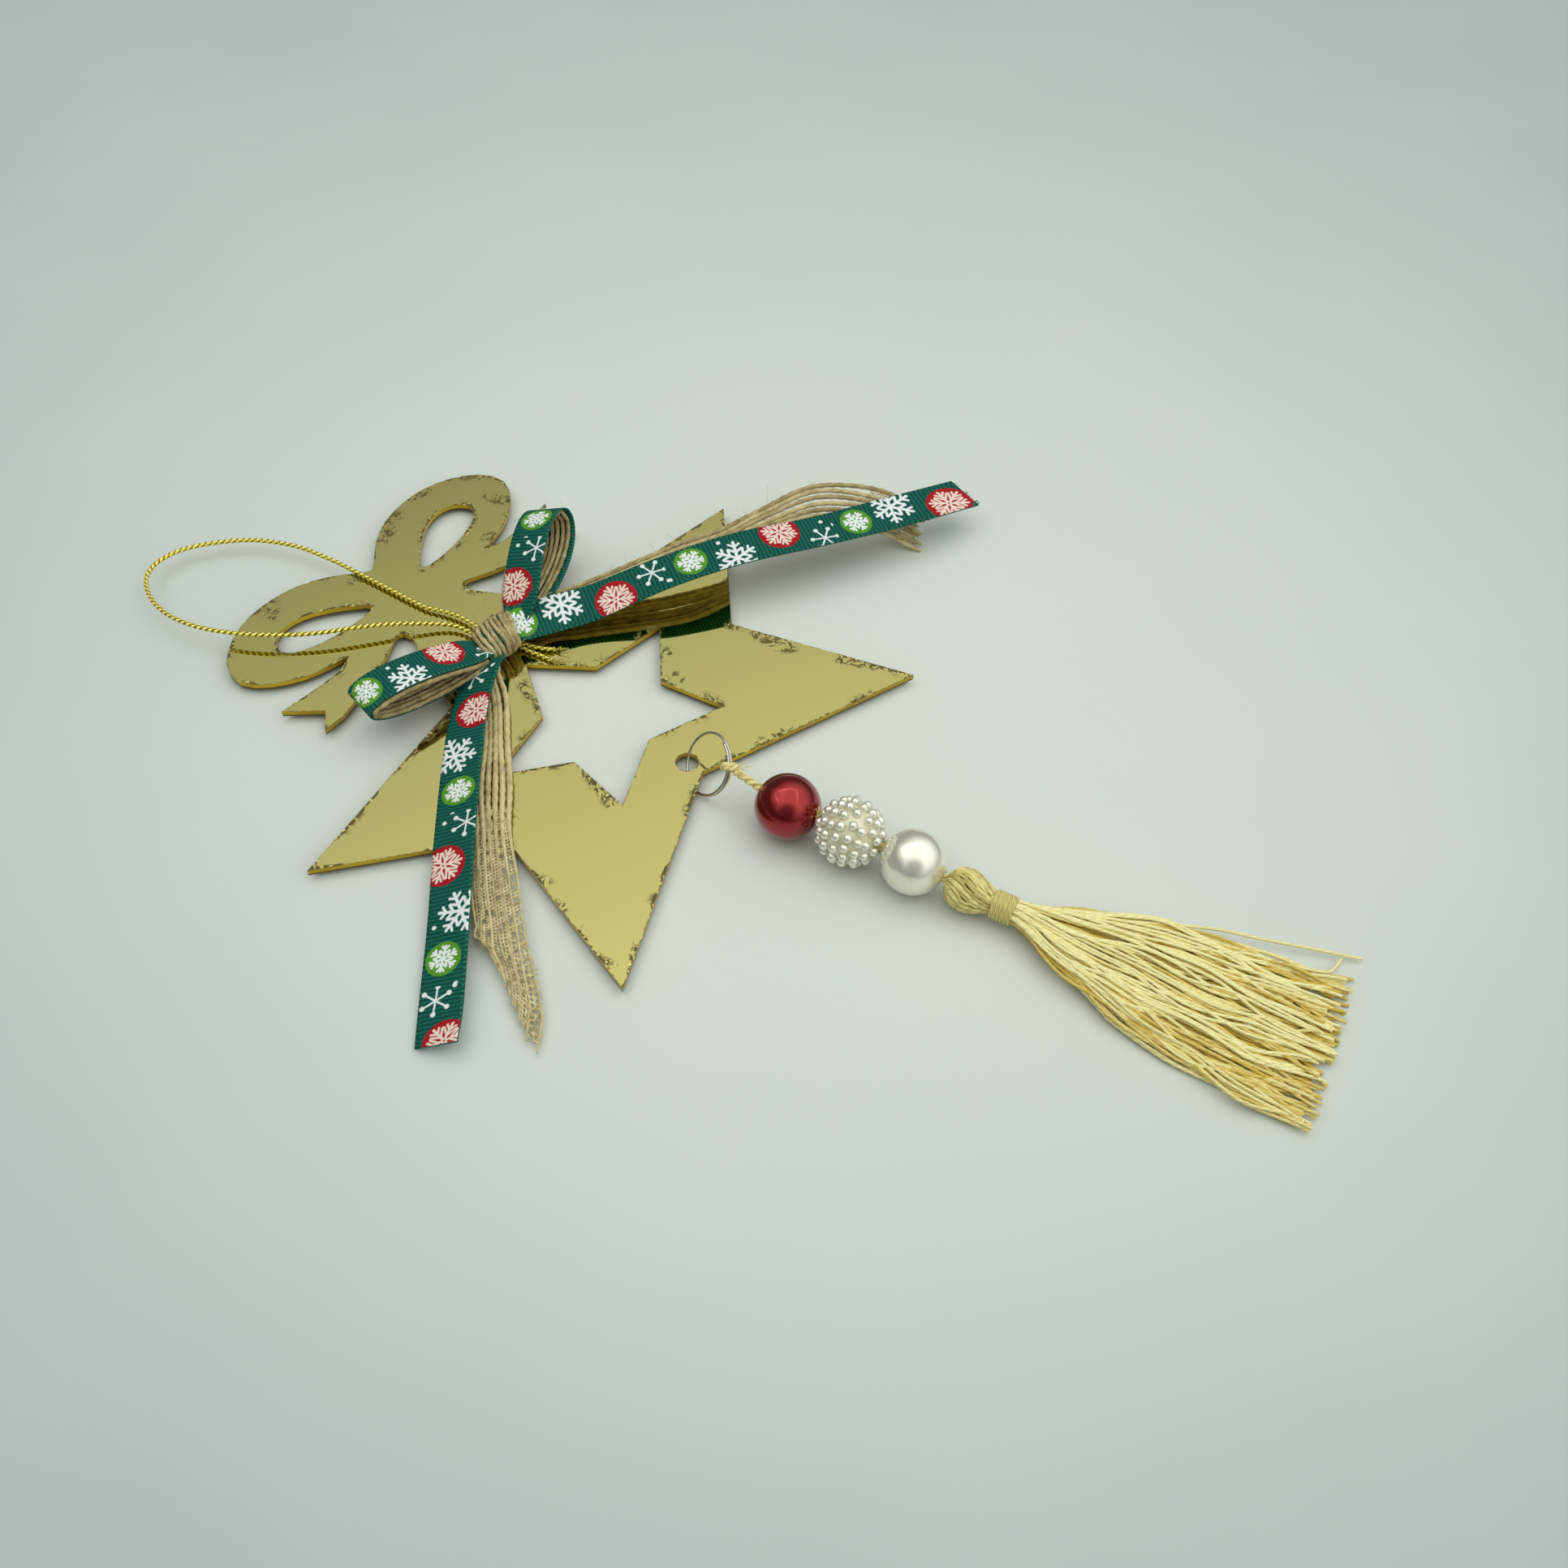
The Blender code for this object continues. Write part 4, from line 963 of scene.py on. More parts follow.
def jute_gauze(name, paths, first, last):
    """Open weave that joins a tail's strands, from one share of their length to another."""
    rows = paths.shape[1]
    surface = np.swapaxes(paths, 0, 1)[int(rows * first):int(rows * last)]
    length = path_length(surface.mean(axis=1)) / MM
    across = np.linspace(0.5, -0.5, JUTE_STRANDS) * JUTE_WIDTH / MM
    made = new_piece(name, surface, GAUZE, "jute_ribbon",
                     flat=np.broadcast_arrays(length[:, None], across))
    thicken(made, GAUZE_THICKNESS)


def jute_lining(name, loop, rows=200):
    """Strands that line the inside of a loop, from where its two sides leave room for them."""
    inset = RIBBON_THICKNESS / 2.0 + 0.1 * MM + STRAND_RADIUS
    along, aside = teardrop(loop, RIBBON_THICKNESS / 2.0, LOOP_START, rows, LINING_SPARE)
    along = np.minimum(along, loop["reach"] * MM - RIBBON_THICKNESS / 2.0 - inset)
    aside = np.sign(aside) * np.maximum(np.abs(aside) - inset, 0.0)
    half = gathered(along, GREEN_GATHER) - STRAND_RADIUS
    place = np.linspace(-1.0, 1.0, JUTE_STRANDS)[:, None] * half + loop["offset"] * MM
    place = place + wander(JUTE_STRANDS, rows, 0.10 * MM)
    aside = aside + wander(JUTE_STRANDS, rows, 0.05 * MM)
    paths = at_knot(loop, np.stack([np.broadcast_to(along, place.shape), aside, place], -1))
    across = at_knot(loop, np.array([0.0, 0.0, 1.0])) - at_knot(loop, np.zeros(3))
    return strand_piece(name, paths, STRAND_RADIUS * 0.85, up=across)


# The tails' last value paints them lighter than the knot and linings, as painted light.
strands = {
    "right": jute_tail("jute_right_tail", JUTE_RIGHT_TAIL, (0.0, 0.15, 0.42, 0.52, 0.75, 0.9, 1.0),
                       (0.7, 1.12, 1.12, 0.85, 1.15, 1.12, 1.05), (1, 0, -1, 0.5, 0, 1.5, 2), 0.95,
                       0.25),
    "down": jute_tail("jute_down_tail", JUTE_DOWN_TAIL, (0.0, 0.12, 0.6, 0.93, 1.0),
                      (0.6, 0.9, 1.1, 1.18, 0.75), (0, -3, -7, -10.5, -15, -19.5, -24), 0.45,
                      0.6),
    "upper": jute_lining("jute_upper_lining", UPPER_LOOP),
    "left": jute_lining("jute_left_lining", LEFT_LOOP),
}
jute_gauze("jute_right_gauze", strands["right"][0], 0.86, 0.99)
jute_gauze("jute_down_gauze", strands["down"][0], 0.44, 0.99)

# %% [markdown]
# ## The knot
# Jute is wound round the crossing of the ribbons: nine turns side by side, each an ellipse
# that stands across the knot and leans, looser on the left than on the right. A squat green body
# under them shows through the gaps.

# %% Knot
KNOT_PLACES = np.array([-5.5, -4.15, -2.8, -1.5, -0.25, 0.9, 1.95, 2.95, 3.9]) * MM
KNOT_WIDE = 5.2 * MM
KNOT_TALL = 3.15 * MM
KNOT_END = 8.2 * MM
KNOT_ALONG = unit(np.array([0.985, -0.17, 0.0]))
KNOT_ACROSS = unit(np.array([0.17, 0.985, 0.0]))
UP = np.array([0.0, 0.0, 1.0])


def knot_strands(rows=120):
    """Ellipses round the knot: along + across * cos a + up * sin a, smaller towards the sides."""
    count = len(KNOT_PLACES)
    angle = np.linspace(-0.6 * np.pi, 1.5 * np.pi, rows)
    place = KNOT_PLACES[:, None]
    leftness = np.linspace(1.0, 0.0, count)[:, None]
    round_off = np.sqrt(1.0 - (place / KNOT_END) ** 2)
    wide = (KNOT_WIDE * round_off + wander(count, rows, 0.12 * MM)) * np.cos(angle)
    tall = (KNOT_TALL * round_off + wander(count, rows, 0.10 * MM)) * np.sin(angle)
    lean = place + (1.7 - 1.0 * leftness) * MM * np.cos(angle) + wander(count, rows, 0.14 * MM)
    lean = lean + (0.2 + 0.9 * leftness) * MM * np.cos(angle) ** 2
    paths = KNOT_CENTRE + (lean[..., None] * KNOT_ALONG + wide[..., None] * KNOT_ACROSS
                           + tall[..., None] * UP)
    return strand_piece("jute_knot", paths, 0.50 * MM, up=KNOT_ALONG)


def knot_core(rows=25, columns=40):
    """A squat closed ball in ribbon green that leans with the turns round it."""
    level = np.linspace(-0.495 * np.pi, 0.495 * np.pi, rows)[:, None]
    turn = np.linspace(0, FULL_TURN, columns, endpoint=False)
    across = np.cos(level) * np.sin(turn)
    along = np.cos(level) * np.cos(turn) * 5.2 * MM + across * 2.0 * MM - 0.6 * MM
    ball = (along[..., None] * KNOT_ALONG + across[..., None] * KNOT_ACROSS * 4.8 * MM
            + (np.sin(level) * 2.85 * MM * np.ones(columns))[..., None] * UP)
    new_piece("green_knot_core", ball + KNOT_CENTRE, CLOTH_BACK, "green_ribbon")


strands["knot"] = knot_strands()
knot_core()

# %% [markdown]
# ## Stray fibres
# A fibre leaves the surface of a strand, runs partly along it and bends as it goes: root +
# direction * t + bend * t squared. It never hangs more than 0.1 mm below its root.

# %% Fibres
def fibre_paint(name, color):
    """Thin fibres in one plain tone with a faint drift along them."""
    paint = Paint(name, color, 0.8, Specular_IOR_Level=0.3)
    drift = paint.noise(400.0, 2.0)
    darker = (color[0] * 0.6, color[1] * 0.6, color[2] * 0.6, 1.0)
    paint.feed("Base Color", paint.mix(drift.step(0.3, 0.7), darker, color))
    return paint.material


JUTE_FIBRE = fibre_paint("jute_fibre", tone(206, 180, 132))


def fibres(name, paths, grids, count, length, radius=0.06, rows=7):
    """Short bent hairs on jute strands, as three-sided tubes."""
    k = rng.integers(0, grids.shape[0], count)
    i = rng.integers(2, grids.shape[1] - 2, count)
    j = rng.integers(0, grids.shape[2], count)
    root = grids[k, i, j]
    out = unit(root - paths[k, i])
    ahead = unit(paths[k, i + 1] - paths[k, i]) * rng.choice([-1.0, 1.0], count)[:, None]
    start = unit(out * rng.uniform(0.3, 1.2, (count, 1)) + ahead * rng.uniform(0.3, 1.4, (count, 1)))
    start[:, 2] = np.abs(start[:, 2]) * 0.7
    reach = (length * rng.uniform(0.35, 1.0, count) * MM)[:, None, None]
    bend = rng.normal(0.0, 0.45, (count, 1, 3))
    lines = bent_lines(root[:, None] - out[:, None] * 0.1 * MM, reach, start[:, None], bend, rows)
    lines[..., 2] = np.maximum(lines[..., 2], root[:, None, 2] - 0.1 * MM)
    thin = np.linspace(1.0, 0.5, rows)
    new_piece(name, tubes(lines, radius * MM, 3, taper=thin), JUTE_FIBRE,
              "jute_ribbon")


for place, count, length in (("right", 200, 3.2), ("down", 220, 3.2), ("upper", 90, 2.2),
                             ("left", 130, 2.6), ("knot", 170, 2.8)):
    fibres(f"jute_fibres_{place}", *strands[place], count, length)

TEAL_FIBRE = fibre_paint("teal_fibre", tone(30, 130, 110))


def frayed_tip(surface, count=26, rows=6):
    """Short teal threads that leave the cut end of a ribbon, most of them at its pointed corner."""
    column = (rng.beta(2.2, 0.7, count) * (surface.shape[1] - 1)).astype(int)
    root = surface[-1, column]
    ahead = unit(surface[-1] - surface[-4])[column] + rng.normal(0.0, 0.35, (count, 3))
    reach = rng.uniform(0.3, 0.9, (count, 1, 1)) * MM
    bend = rng.normal(0.0, 0.3, (count, 1, 3))
    lines = bent_lines(root[:, None], reach, ahead[:, None], bend, rows)
    new_piece("green_frayed_tip", tubes(lines, 0.06 * MM, 4), TEAL_FIBRE,
              "green_ribbon")


frayed_tip(right_surface)

# %% [markdown]
# ## Gold hanging cord
# The cord is one loop with both its ends in the knot: two metallic plies twisted together. It is
# a free cord, so its route is the CAD's list of points, and its length is measured from it.

# %% Hanging cord
HANGING_CORD = [
    (-1.2, 7.4, 1.25), (-1.7, 11.2, 1.4), (-3.6, 14.6, 1.6), (-7.0, 18.3, 2.1), (-11.6, 22.8, 2.8),
    (-17.1, 27.5, 3.2), (-22.6, 32.1, 3.2), (-27.6, 37.2, 3.2), (-34.1, 45.9, 3.2),
    (-38.8, 56.4, 2.7), (-40.0, 66.4, 2.3), (-37.4, 75.2, 1.9), (-32.3, 80.2, 1.5),
    (-24.8, 80.5, 1.1), (-17.3, 76.4, 0.9), (-10.4, 69.3, 0.9), (-5.9, 60.5, 0.9),
    (-4.0, 51.1, 0.95), (-3.1, 41.9, 0.95), (-2.4, 32.6, 0.95), (-1.6, 22.4, 0.95),
    (-0.2, 18.0, 1.05), (0.9, 13.6, 1.2), (1.1, 9.5, 1.25), (1.0, 7.4, 1.3),
]
GOLD_CORD_RADIUS = 0.48 * MM
CUT_END_RADIUS = 0.44 * MM
GOLD_CORD_TWIST = {"lobes": 2, "depth": 0.22, "pitch": 2.9 * MM}


def gold_thread():
    """Metallic film thread: painted highlights on the plies' crests, amber sides and painted shade in the
    valleys.
    """
    paint = Paint("gold_thread", tone(236, 214, 60), 0.26, Metallic=0.45)
    along, around = paint.along_across()
    lean = along / (GOLD_CORD_TWIST["pitch"] / MM) + around
    ply = lean.wave(0.5)
    facet = paint.noise(1.0, 2.0, where=paint.vector(along * 1.6, lean * 10.0))
    side = paint.mix(facet.step(0.35, 0.65), tone(206, 178, 12), tone(242, 222, 48))
    # Painted highlight on the crest of each ply
    color = paint.mix(ply.step(0.60, 0.85), side, tone(255, 252, 150))
    # Painted shade in the valleys between the plies
    paint.feed("Base Color", paint.mix(ply.step(0.26, 0.04), color, tone(110, 86, 2)))
    paint.bump(facet * 0.5 + ply, 0.10 * MM, 0.8)
    return paint.material


GOLD_THREAD = gold_thread()
cord_route = above_sheet(even_path(HANGING_CORD, 900))
cord_tube = tubes(cord_route, GOLD_CORD_RADIUS, 12, **GOLD_CORD_TWIST)
gold_cord = new_piece("gold_hanging_cord", cord_tube, GOLD_THREAD, "hanging_cord")

# %% [markdown]
# The two cut ends of the cord come out on the other side of the knot, lie on the sheet and fray
# at their tips.

# %% Cut cord ends
CUT_ENDS = [
    [(3.0, -2.6, 1.6), (4.2, -5.4, 1.1), (5.4, -8.2, 0.9), (7.0, -10.6, 0.8)],
    [(2.6, -2.8, 1.2), (3.0, -6.0, 0.8), (3.6, -8.9, 0.7), (4.2, -12.4, 0.7)],
]
FRAY_THREADS = 14


def cut_ends(rows=60):
    """Two short lengths of the same cord, and threads that spray from their tips."""
    cords = np.stack([above_sheet(even_path(route, rows)) for route in CUT_ENDS])
    new_piece("gold_cord_cut_ends", tubes(cords, CUT_END_RADIUS, 12, **GOLD_CORD_TWIST),
              GOLD_THREAD)
    root = np.repeat(cords[:, -2], FRAY_THREADS, axis=0)[:, None]
    ahead = np.repeat(unit(cords[:, -1] - cords[:, -4]), FRAY_THREADS, axis=0)[:, None]
    reach = rng.uniform(0.8, 2.4, (len(root), 1, 1)) * MM
    start = ahead + rng.normal(0.0, 0.28, root.shape)
    lines = bent_lines(root, reach, start, rng.normal(0.0, 0.3, root.shape), 8)
    lines[..., 2] = np.maximum(lines[..., 2], SHEET_THICKNESS + 0.2 * MM)
    new_piece("gold_cord_fray", tubes(lines, 0.08 * MM, 5), GOLD_THREAD)


cut_ends()

# %% [markdown]
# ## Bead string
# A cream cord of twisted threads is hitched to the ring and runs through a red bead, a bead
# covered with small pearls, and a plain pearl bead. The three lie on the table in a row.

# %% Bead places
STRING_TURN_DEG = -81.3
TASSEL_TURN_DEG = -80.5
RED_RADIUS = 7.1 * MM
CLUSTER_CORE_RADIUS = 6.5 * MM
SMALL_PEARL_RADIUS = 1.2 * MM
GLUE_DEPTH = 0.25 * MM
PEARL_RINGS = 8
PEARL_RING_STEP_DEG = 20.5
PEARLS_AT_MIDDLE = 16
PEARL_RADIUS = 7.0 * MM
BEAD_GAP = 0.6 * MM
RING_TO_BEAD = 20.6 * MM
STRING_SHIFT = 2.7 * MM


def headings(degrees):
    """Level directions ahead and aside, from the angle of ahead to the X axis."""
    c, s = np.cos(np.radians(degrees)), np.sin(np.radians(degrees))
    return np.array([c, s, 0.0]), np.array([-s, c, 0.0])


STRING_AHEAD, STRING_ASIDE = headings(STRING_TURN_DEG)
TASSEL_AHEAD, TASSEL_ASIDE = headings(TASSEL_TURN_DEG)


def bead_centres():
    """The beads' middles: each touches the table, and they stand a small gap apart."""
    spot = ring_centre() * (1, 1, 0) + STRING_AHEAD * RING_TO_BEAD - STRING_ASIDE * STRING_SHIFT
    reaches = [RED_RADIUS, CLUSTER_CORE_RADIUS + 0.3 * MM, PEARL_RADIUS]
    heights = [RED_RADIUS, CLUSTER_CORE_RADIUS + SMALL_PEARL_RADIUS, PEARL_RADIUS]
    steps = np.cumsum([0.0, reaches[0] + BEAD_GAP + reaches[1], reaches[1] + BEAD_GAP + reaches[2]])
    return [spot + STRING_AHEAD * step + UP * (TABLE_Z + height)
            for step, height in zip(steps, heights)]


RED_CENTRE, CLUSTER_CENTRE, PEARL_CENTRE = bead_centres()
TASSEL_TOP = PEARL_CENTRE * (1, 1, 0) + STRING_AHEAD * (PEARL_RADIUS + BEAD_GAP) + UP * TABLE_Z
print("beads, mm:", [np.round(centre / MM, 1).tolist() for centre in bead_centres()])


# %% Bead shapes and lacquers
def lacquer(name, color, deep, metallic, roughness, coat=1.0):
    """Pearl lacquer: a soft mirror-like body under a clear gloss coat, with faint clouding."""
    paint = Paint(name, color, roughness, Metallic=metallic, Coat_Weight=coat, Coat_Roughness=0.04)
    cloud = paint.noise(240.0, 4.0, 0.6)
    dust = paint.noise(1600.0, 2.0)
    paint.feed("Base Color", paint.mix(cloud.step(0.25, 0.75), color, deep))
    paint.feed("Roughness", cloud * 0.08 + dust * 0.05 + (roughness - 0.06))
    return paint.material


RED_LACQUER = lacquer("red_pearl_lacquer", tone(158, 8, 12), tone(140, 4, 6), 0.9, 0.20, coat=0.8)
IVORY_LACQUER = lacquer("ivory_pearl_lacquer", tone(244, 243, 230), tone(236, 233, 212), 0.6, 0.20)
GLUE = lacquer("ivory_glue", tone(236, 232, 206), tone(224, 214, 170), 0.0, 0.35)


def bead(name, replaced, centre, radius, paint, bore=0.9 * MM, rows=60, columns=96):
    """A ball with a drilled hole: a half circle with its ends turned into the hole, carried round."""
    edge = np.arcsin(bore / radius)
    arc = np.linspace(edge, np.pi - edge, rows)
    along = np.concatenate([[-radius * 0.6], -np.cos(arc) * radius, [radius * 0.6]])
    out = np.concatenate([[bore * 0.9], np.sin(arc) * radius, [bore * 0.9]])
    path = centre + along[:, None] * STRING_AHEAD
    turn = np.linspace(0, FULL_TURN, columns, endpoint=False)[:, None]
    ring_round = np.cos(turn) * STRING_ASIDE + np.sin(turn) * UP
    new_piece(name, path[:, None] + ring_round * out[:, None, None], paint, replaced)


bead("red_lacquered_bead", "red_bead", RED_CENTRE, RED_RADIUS, RED_LACQUER)
bead("plain_pearl_bead", "pearl_bead", PEARL_CENTRE, PEARL_RADIUS, IVORY_LACQUER)
bead("cluster_core", "pearl_cluster_bead", CLUSTER_CENTRE, CLUSTER_CORE_RADIUS - GLUE_DEPTH, GLUE)


def small_pearls(rows=11, columns=16):
    """Small balls in eight rings over the core, each a half circle carried round its own axis."""
    places = []
    for row in range(PEARL_RINGS):
        latitude = np.radians(PEARL_RING_STEP_DEG * (row - (PEARL_RINGS - 1) / 2.0))
        count = round(PEARLS_AT_MIDDLE * np.cos(latitude))
        around = FULL_TURN * (np.arange(count) + 0.5 * (row % 2)) / count
        out = np.cos(latitude) * (np.cos(around)[:, None] * STRING_ASIDE + np.sin(around)[:, None] * UP)
        places.append(out + np.sin(latitude) * STRING_AHEAD)
    outward = np.concatenate(places)
    sizes = SMALL_PEARL_RADIUS * rng.uniform(0.82, 0.94, (len(outward), 1, 1, 1))
    outward = unit(outward + rng.normal(0.0, 0.035, outward.shape))
    arc = np.linspace(0.03, np.pi - 0.03, rows)[:, None]
    turn = np.linspace(0, FULL_TURN, columns, endpoint=False)
    ball = np.stack([np.sin(arc) * np.cos(turn), np.sin(arc) * np.sin(turn),
                     np.broadcast_to(-np.cos(arc), (rows, columns))], -1)
    reach = CLUSTER_CORE_RADIUS + SMALL_PEARL_RADIUS * 0.08
    grids = CLUSTER_CENTRE + outward[:, None, None] * reach + ball * sizes
    new_piece("small_pearls", grids, IVORY_LACQUER, "pearl_cluster_bead")


small_pearls()

# %% [markdown]
# ## Cream cord and thread
# All the cream thread is the same silky two-ply kind. In the bead cord two thick plies are
# twisted together, and its end is tied round the ring in a soft hitch with loose ends.

# %% Cream thread
def silk(name, light, dark, pitch, twist):
    """Silky two-ply thread, with fine filaments along the twist; twist sets the painted shade in its
    valleys.
    """
    paint = Paint(name, light, 0.42, Specular_IOR_Level=0.5)
    along, around = paint.along_across()
    shade = paint.attribute("shade")
    lean = along / pitch + around
    ply = lean.wave(0.5)
    filament = paint.noise(1.0, 3.0, 0.6, where=paint.vector(along * 0.4, lean * 18.0, shade * 30.0))
    # The shade value holds each thread's tone and any painted light or shade; ply paints the crests a
    # little lighter, a painted sheen.
    level = filament * 0.6 + shade * 0.5 + ply * 0.1
    color = paint.mix(level.step(0.15, 0.95), dark, light)
    deep = (dark[0] * 0.6, dark[1] * 0.5, dark[2] * 0.35, 1.0)
    # Painted shade in the valleys between the plies
    paint.feed("Base Color", paint.mix(ply.step(0.30, 0.0) * twist, color, deep))
    paint.feed("Roughness", filament * 0.2 + 0.3)
    paint.bump(ply * 0.5 + filament * 0.6, 0.10 * MM, 0.8)
    return paint.material


THREAD_PITCH = 4.4
SILK = silk("cream_silk", tone(253, 245, 178), tone(216, 186, 70), THREAD_PITCH, 0.25)
# Painted shade: a darker copy of the silk for the head and its binding, with deeper painted shade in its
# valleys.
SHADED_SILK = silk("shaded_silk", tone(244, 234, 154), tone(178, 160, 78), THREAD_PITCH, 0.4)


TIE_DEG = 141.0
HITCH_RADIUS = 1.56 * MM
CORD_PLY_RADIUS = 0.52 * MM
HITCH_PLY_RADIUS = 0.42 * MM
LOOSE_END_RADIUS = 0.13 * MM


def bead_cord_plies():
    """Two plies that wind round the run from the ring to the tassel, and a hitch on the wire."""
    tie = (ring_point(TIE_DEG) + ring_point(TIE_DEG + 360.0)) / 2.0
    out = unit(RED_CENTRE - tie)
    head = TASSEL_TOP + TASSEL_AHEAD * 3.7 * MM + UP * 5.3 * MM
    corners = np.array([tie + out * HITCH_RADIUS, RED_CENTRE, CLUSTER_CENTRE, PEARL_CENTRE, head])
    run = np.stack([np.interp(np.linspace(0, 4, 420), np.arange(5), corners[:, k]) for k in range(3)], 1)
    print("bead cord, mm:", round(float(path_length(run)[-1]) / MM, 1))
    plies = tubes(coil(run, 0.42 * MM, 4.0 * MM, 2), CORD_PLY_RADIUS, 10, lobes=2, depth=0.1,
                  pitch=1.6 * MM)
    new_piece("bead_cord_plies", plies, SILK, "bead_cord", shade=[0.75, 0.55])
    along = unit(ring_point(TIE_DEG + 2.0) - ring_point(TIE_DEG - 2.0))
    first = unit(out - along * (out @ along))
    second = np.cross(along, first)
    angle = np.linspace(0, 2.0 * FULL_TURN, 120)[:, None]
    drift = np.linspace(-1.0, 1.0, 120)[:, None] * 0.55 * MM
    hitch = tie + HITCH_RADIUS * 0.85 * (np.cos(angle) * first + np.sin(angle) * second) + along * drift
    turns = tubes(coil(hitch, 0.28 * MM, 3.0 * MM, 2, up=along), HITCH_PLY_RADIUS, 10, up=along)
    new_piece("bead_cord_hitch", turns, SILK, "bead_cord", shade=[0.7, 0.5])
    return tie, out


def thread_tuft(name, root, toward, count, length, spread):
    """Loose thread ends that leave a place and fan out."""
    start = toward + rng.normal(0.0, spread, (count, 1, 3))
    bend = rng.normal(0.0, spread, (count, 1, 3))
    reach = rng.uniform(0.5, 1.0, (count, 1, 1)) * length
    lines = bent_lines(root + rng.normal(0.0, 0.25, (count, 1, 3)) * MM, reach, start, bend, 9)
    lines[..., 2] = np.maximum(lines[..., 2], TABLE_Z + 0.2 * MM)
    new_piece(name, tubes(lines, LOOSE_END_RADIUS, 5), SILK,
              shade=rng.uniform(0.3, 1.0, count))


tie_place, tie_out = bead_cord_plies()
thread_tuft("hitch_ends", tie_place, tie_out, 16, 2.6 * MM, 0.55)
thread_tuft("cord_tuft", (RED_CENTRE + CLUSTER_CENTRE) / 2.0 + UP * 1.1 * MM, UP, 14, 1.3 * MM, 0.5)

# %% [markdown]
# ## Tassel
# The tassel is made of single threads. About forty run over its round head like meridians and
# are bound at the neck. Below it more than a hundred fan out and cross each other on the table.
# A thread keeps its share of the fan's width and height, with a drift and a wave of its own.

# %% Tassel
HEAD_RADIUS = 4.6 * MM
NECK_RADIUS = 2.5 * MM
NECK_START = 9.66 * MM
NECK_END = 15.66 * MM
TASSEL_LENGTH = 82.0 * MM
HALF_SPREAD = 16.3 * MM
HEAD_THREAD_RADIUS = 0.38 * MM
SKIRT_THREAD_RADIUS = 0.35 * MM
STRAY_THREAD_RADIUS = 0.34 * MM
BINDING_THREAD_RADIUS = 0.20 * MM
# Half width and half height of the fan along it, as shares of the greatest
FAN_SHARES = (0.0, 0.04, 0.12, 0.24, 0.42, 0.66, 0.88, 1.0)
FAN_SPREAD = (0.13, 0.18, 0.33, 0.53, 0.78, 0.90, 0.95, 0.98)
FAN_THICKNESS = (1.0, 0.92, 0.86, 0.78, 0.66, 0.56, 0.5, 0.42)


def on_tassel(distance, aside, height):
    """A point at this distance from the tassel's top, aside of its axis, above the table."""
    return (TASSEL_TOP + distance[..., None] * TASSEL_AHEAD + aside[..., None] * TASSEL_ASIDE
            + height[..., None] * UP)


def head_threads(count=40, rows=70):
    """Meridians over a bulb: radius by distance from the top, turning slowly on the way down."""
    profile = even_path([(0.1, 0.5, 0), (0.7, 2.3, 0), (2.4, 3.9, 0), (4.8, 4.2, 0), (7.2, 3.4, 0),
                         (9.2, 2.4, 0), (10.6, 2.1, 0), (15.8, 2.15, 0)], rows) * MM
    distance, radius = profile[:, 0], profile[:, 1]
    turn = FULL_TURN * np.arange(count)[:, None] / count + distance / (9.0 * MM)
    turn = turn + wander(count, rows, 0.05)
    radius = radius + wander(count, rows, 0.10 * MM)
    axis = HEAD_RADIUS * np.interp(distance, (0.0, NECK_START, NECK_END), (1.15, 1.02, 0.98))
    paths = on_tassel(np.broadcast_to(distance, radius.shape), radius * np.cos(turn),
                      axis + radius * np.sin(turn))
    grids = tubes(paths, HEAD_THREAD_RADIUS, 8, up=UP * 0.02 + TASSEL_ASIDE * 0.01 + TASSEL_AHEAD,
                  lobes=2, depth=0.10, pitch=THREAD_PITCH * MM)
    new_piece("tassel_head_threads", grids, SHADED_SILK, "tassel",
              shade=rng.uniform(0.0, 1.0, count))


def skirt_threads(name, count, top_share, sag, painted_shade_range, bundled, rows=90):
    """Fanned threads: aside = share * width(distance), height = middle + share * half height.

    Neighbours go in bundles of this many, which drift together and leave gaps between them.
    """
    t = np.linspace(0, 1, rows)
    length = (TASSEL_LENGTH - NECK_END) * rng.uniform(0.93, 1.0, (count, 1))
    distance = NECK_END - 1.2 * MM + (length + 1.2 * MM) * t
    share = np.clip((distance - NECK_END) / (TASSEL_LENGTH - NECK_END), 0, 1)
    spread = np.interp(share, FAN_SHARES, FAN_SPREAD)
    thick = np.interp(share, FAN_SHARES, FAN_THICKNESS) * NECK_RADIUS
    middle = np.maximum(HEAD_RADIUS * (0.98 - 0.75 * share), thick + 0.35 * MM)
    order = (np.arange(count)[:, None] + rng.uniform(0.0, 1.0, (count, 1))) / count
    place = 2.0 * order - 1.0
    bundle = np.arange(count) // bundled
    bundles = bundle[-1] + 1
    drift = rng.normal(0.0, 0.34, (bundles, 1))[bundle] + rng.normal(0.0, 0.20, (count, 1))
    across = np.clip(place + drift * (t - 0.5), -1.06, 1.06) * HALF_SPREAD * spread
    shared = wander(bundles, rows, 1.3 * MM, 6)[bundle]
    across = across + (shared + wander(count, rows, 0.65 * MM, 7)) * np.sqrt(t)
    level = np.sqrt(np.maximum(1.0 - np.clip(place, -1, 1) ** 2, 0.0))
    height = middle + level * thick * (top_share + rng.uniform(-0.25, 0.25, (count, 1))) * (1 - sag * t)
    height = np.maximum(height + wander(count, rows, 0.5 * MM, 7) * t, 0.45 * MM)
    paths = on_tassel(distance, across, height)
    grids = tubes(paths, SKIRT_THREAD_RADIUS, 7, lobes=2, depth=0.12, pitch=THREAD_PITCH * MM)
    # Painted shade and light: each layer's range of shade makes low threads darker and high ones lighter.
    new_piece(name, grids, SILK, "tassel", shade=rng.uniform(*painted_shade_range, count))


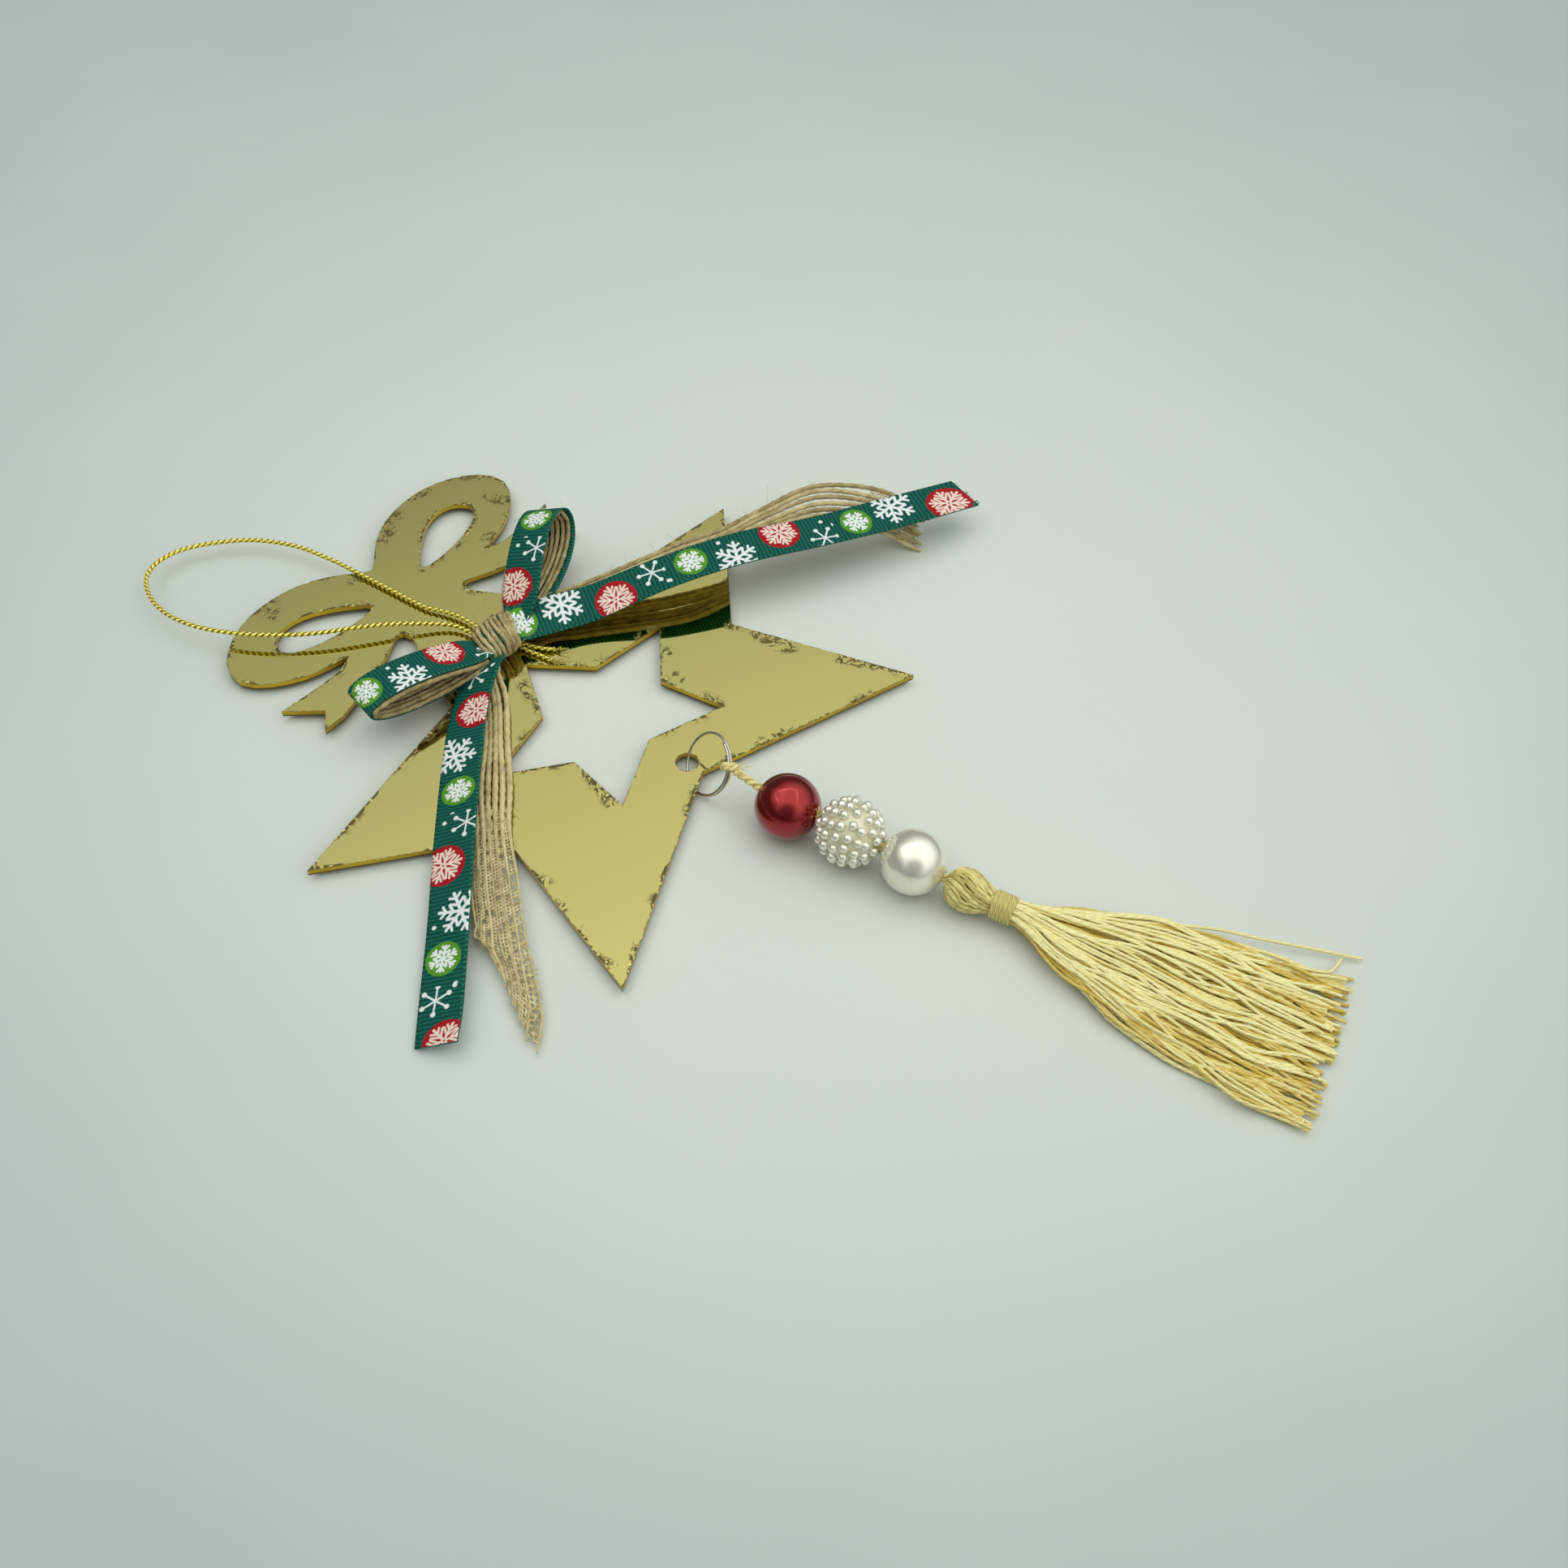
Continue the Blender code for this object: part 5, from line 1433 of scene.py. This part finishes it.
# Distance from the tassel's top, aside of its axis and height above the table, in millimetres
STRAY_ROUTES = [
    [(18, 1.5, 4.4), (27, 5.0, 4.4), (36, 9.2, 3.8), (45, 13.6, 2.9), (53, 17.0, 2.4), (62, 19.4, 2.0),
     (72, 22.4, 1.5), (81.2, 25.0, 1.0)],
    [(60, 14.2, 2.4), (70, 16.4, 1.8), (75.6, 18.4, 1.3), (76.8, 20.4, 1.1), (77.4, 22.8, 1.3)],
    [(18, -1.5, 4.4), (25, -4.4, 3.6), (32.5, -8.0, 2.6), (41, -11.8, 1.6), (44.5, -12.9, 1.4),
     (50.8, -12.6, 1.2), (60, -13.6, 1.0), (70.5, -14.8, 0.8), (79.4, -16.6, 0.7)],
    [(40, -10.0, 2.6), (46, -12.2, 1.8), (52, -14.6, 1.0), (56, -15.6, 0.8), (62, -14.4, 0.9),
     (68, -13.0, 1.2)],
]


def stray_threads(count=8, rows=120):
    """Threads outside the fan: a few along its sides, and those that wander off by themselves."""
    t = np.linspace(0, 1, rows)
    side = np.where(np.arange(count) % 2 == 0, 1.0, -1.0)[:, None]
    distance = NECK_END + (TASSEL_LENGTH - NECK_END) * t * rng.uniform(0.85, 1.0, (count, 1))
    out = np.interp(t, FAN_SHARES, FAN_SPREAD) * HALF_SPREAD
    across = side * (out - 1.2 * MM + rng.uniform(0.6, 2.6, (count, 1)) * MM * np.clip(t / 0.5, 0, 1))
    wave = np.sin(t * rng.uniform(6.0, 12.0, (count, 1)) + rng.uniform(0, 6, (count, 1)))
    across = across + wave * 1.3 * MM * t
    height = np.maximum(HEAD_RADIUS * (0.9 - 1.3 * t), 0.55 * MM) + np.abs(wave) * 0.8 * MM * t
    single = np.stack([even_path(route, rows) for route in STRAY_ROUTES]) * MM
    paths = np.concatenate([on_tassel(distance, across, height),
                            on_tassel(single[..., 0], single[..., 1], single[..., 2])])
    grids = tubes(paths, STRAY_THREAD_RADIUS, 7, lobes=2, depth=0.15, pitch=THREAD_PITCH * MM)
    new_piece("tassel_stray_threads", grids, SILK, "tassel",
              shade=rng.uniform(0.7, 1.2, len(paths)))


def neck_binding(turns=15, rows=760):
    """One thread wound round the neck: a coil of many close turns."""
    angle = np.linspace(0, turns * FULL_TURN, rows)
    distance = np.linspace(10.5, 14.9, rows) * MM
    radius = (2.92 + 0.12 * np.sin(angle * 0.37)) * MM
    paths = on_tassel(distance, radius * np.cos(angle), HEAD_RADIUS + radius * np.sin(angle))
    new_piece("tassel_binding", tubes(paths, BINDING_THREAD_RADIUS, 8, up=TASSEL_AHEAD),
              SHADED_SILK, "tassel_wrap", shade=[0.5])


head_threads()
# Painted shade and light: the lower threads are painted darker and the upper ones lighter.
skirt_threads("tassel_lower_threads", 88, -0.5, 0.0, (-0.4, 0.3), 1)
skirt_threads("tassel_middle_threads", 42, 0.1, 0.2, (-0.1, 0.9), 3)
skirt_threads("tassel_upper_threads", 33, 0.75, 0.3, (0.55, 1.4), 3)
stray_threads()
neck_binding()
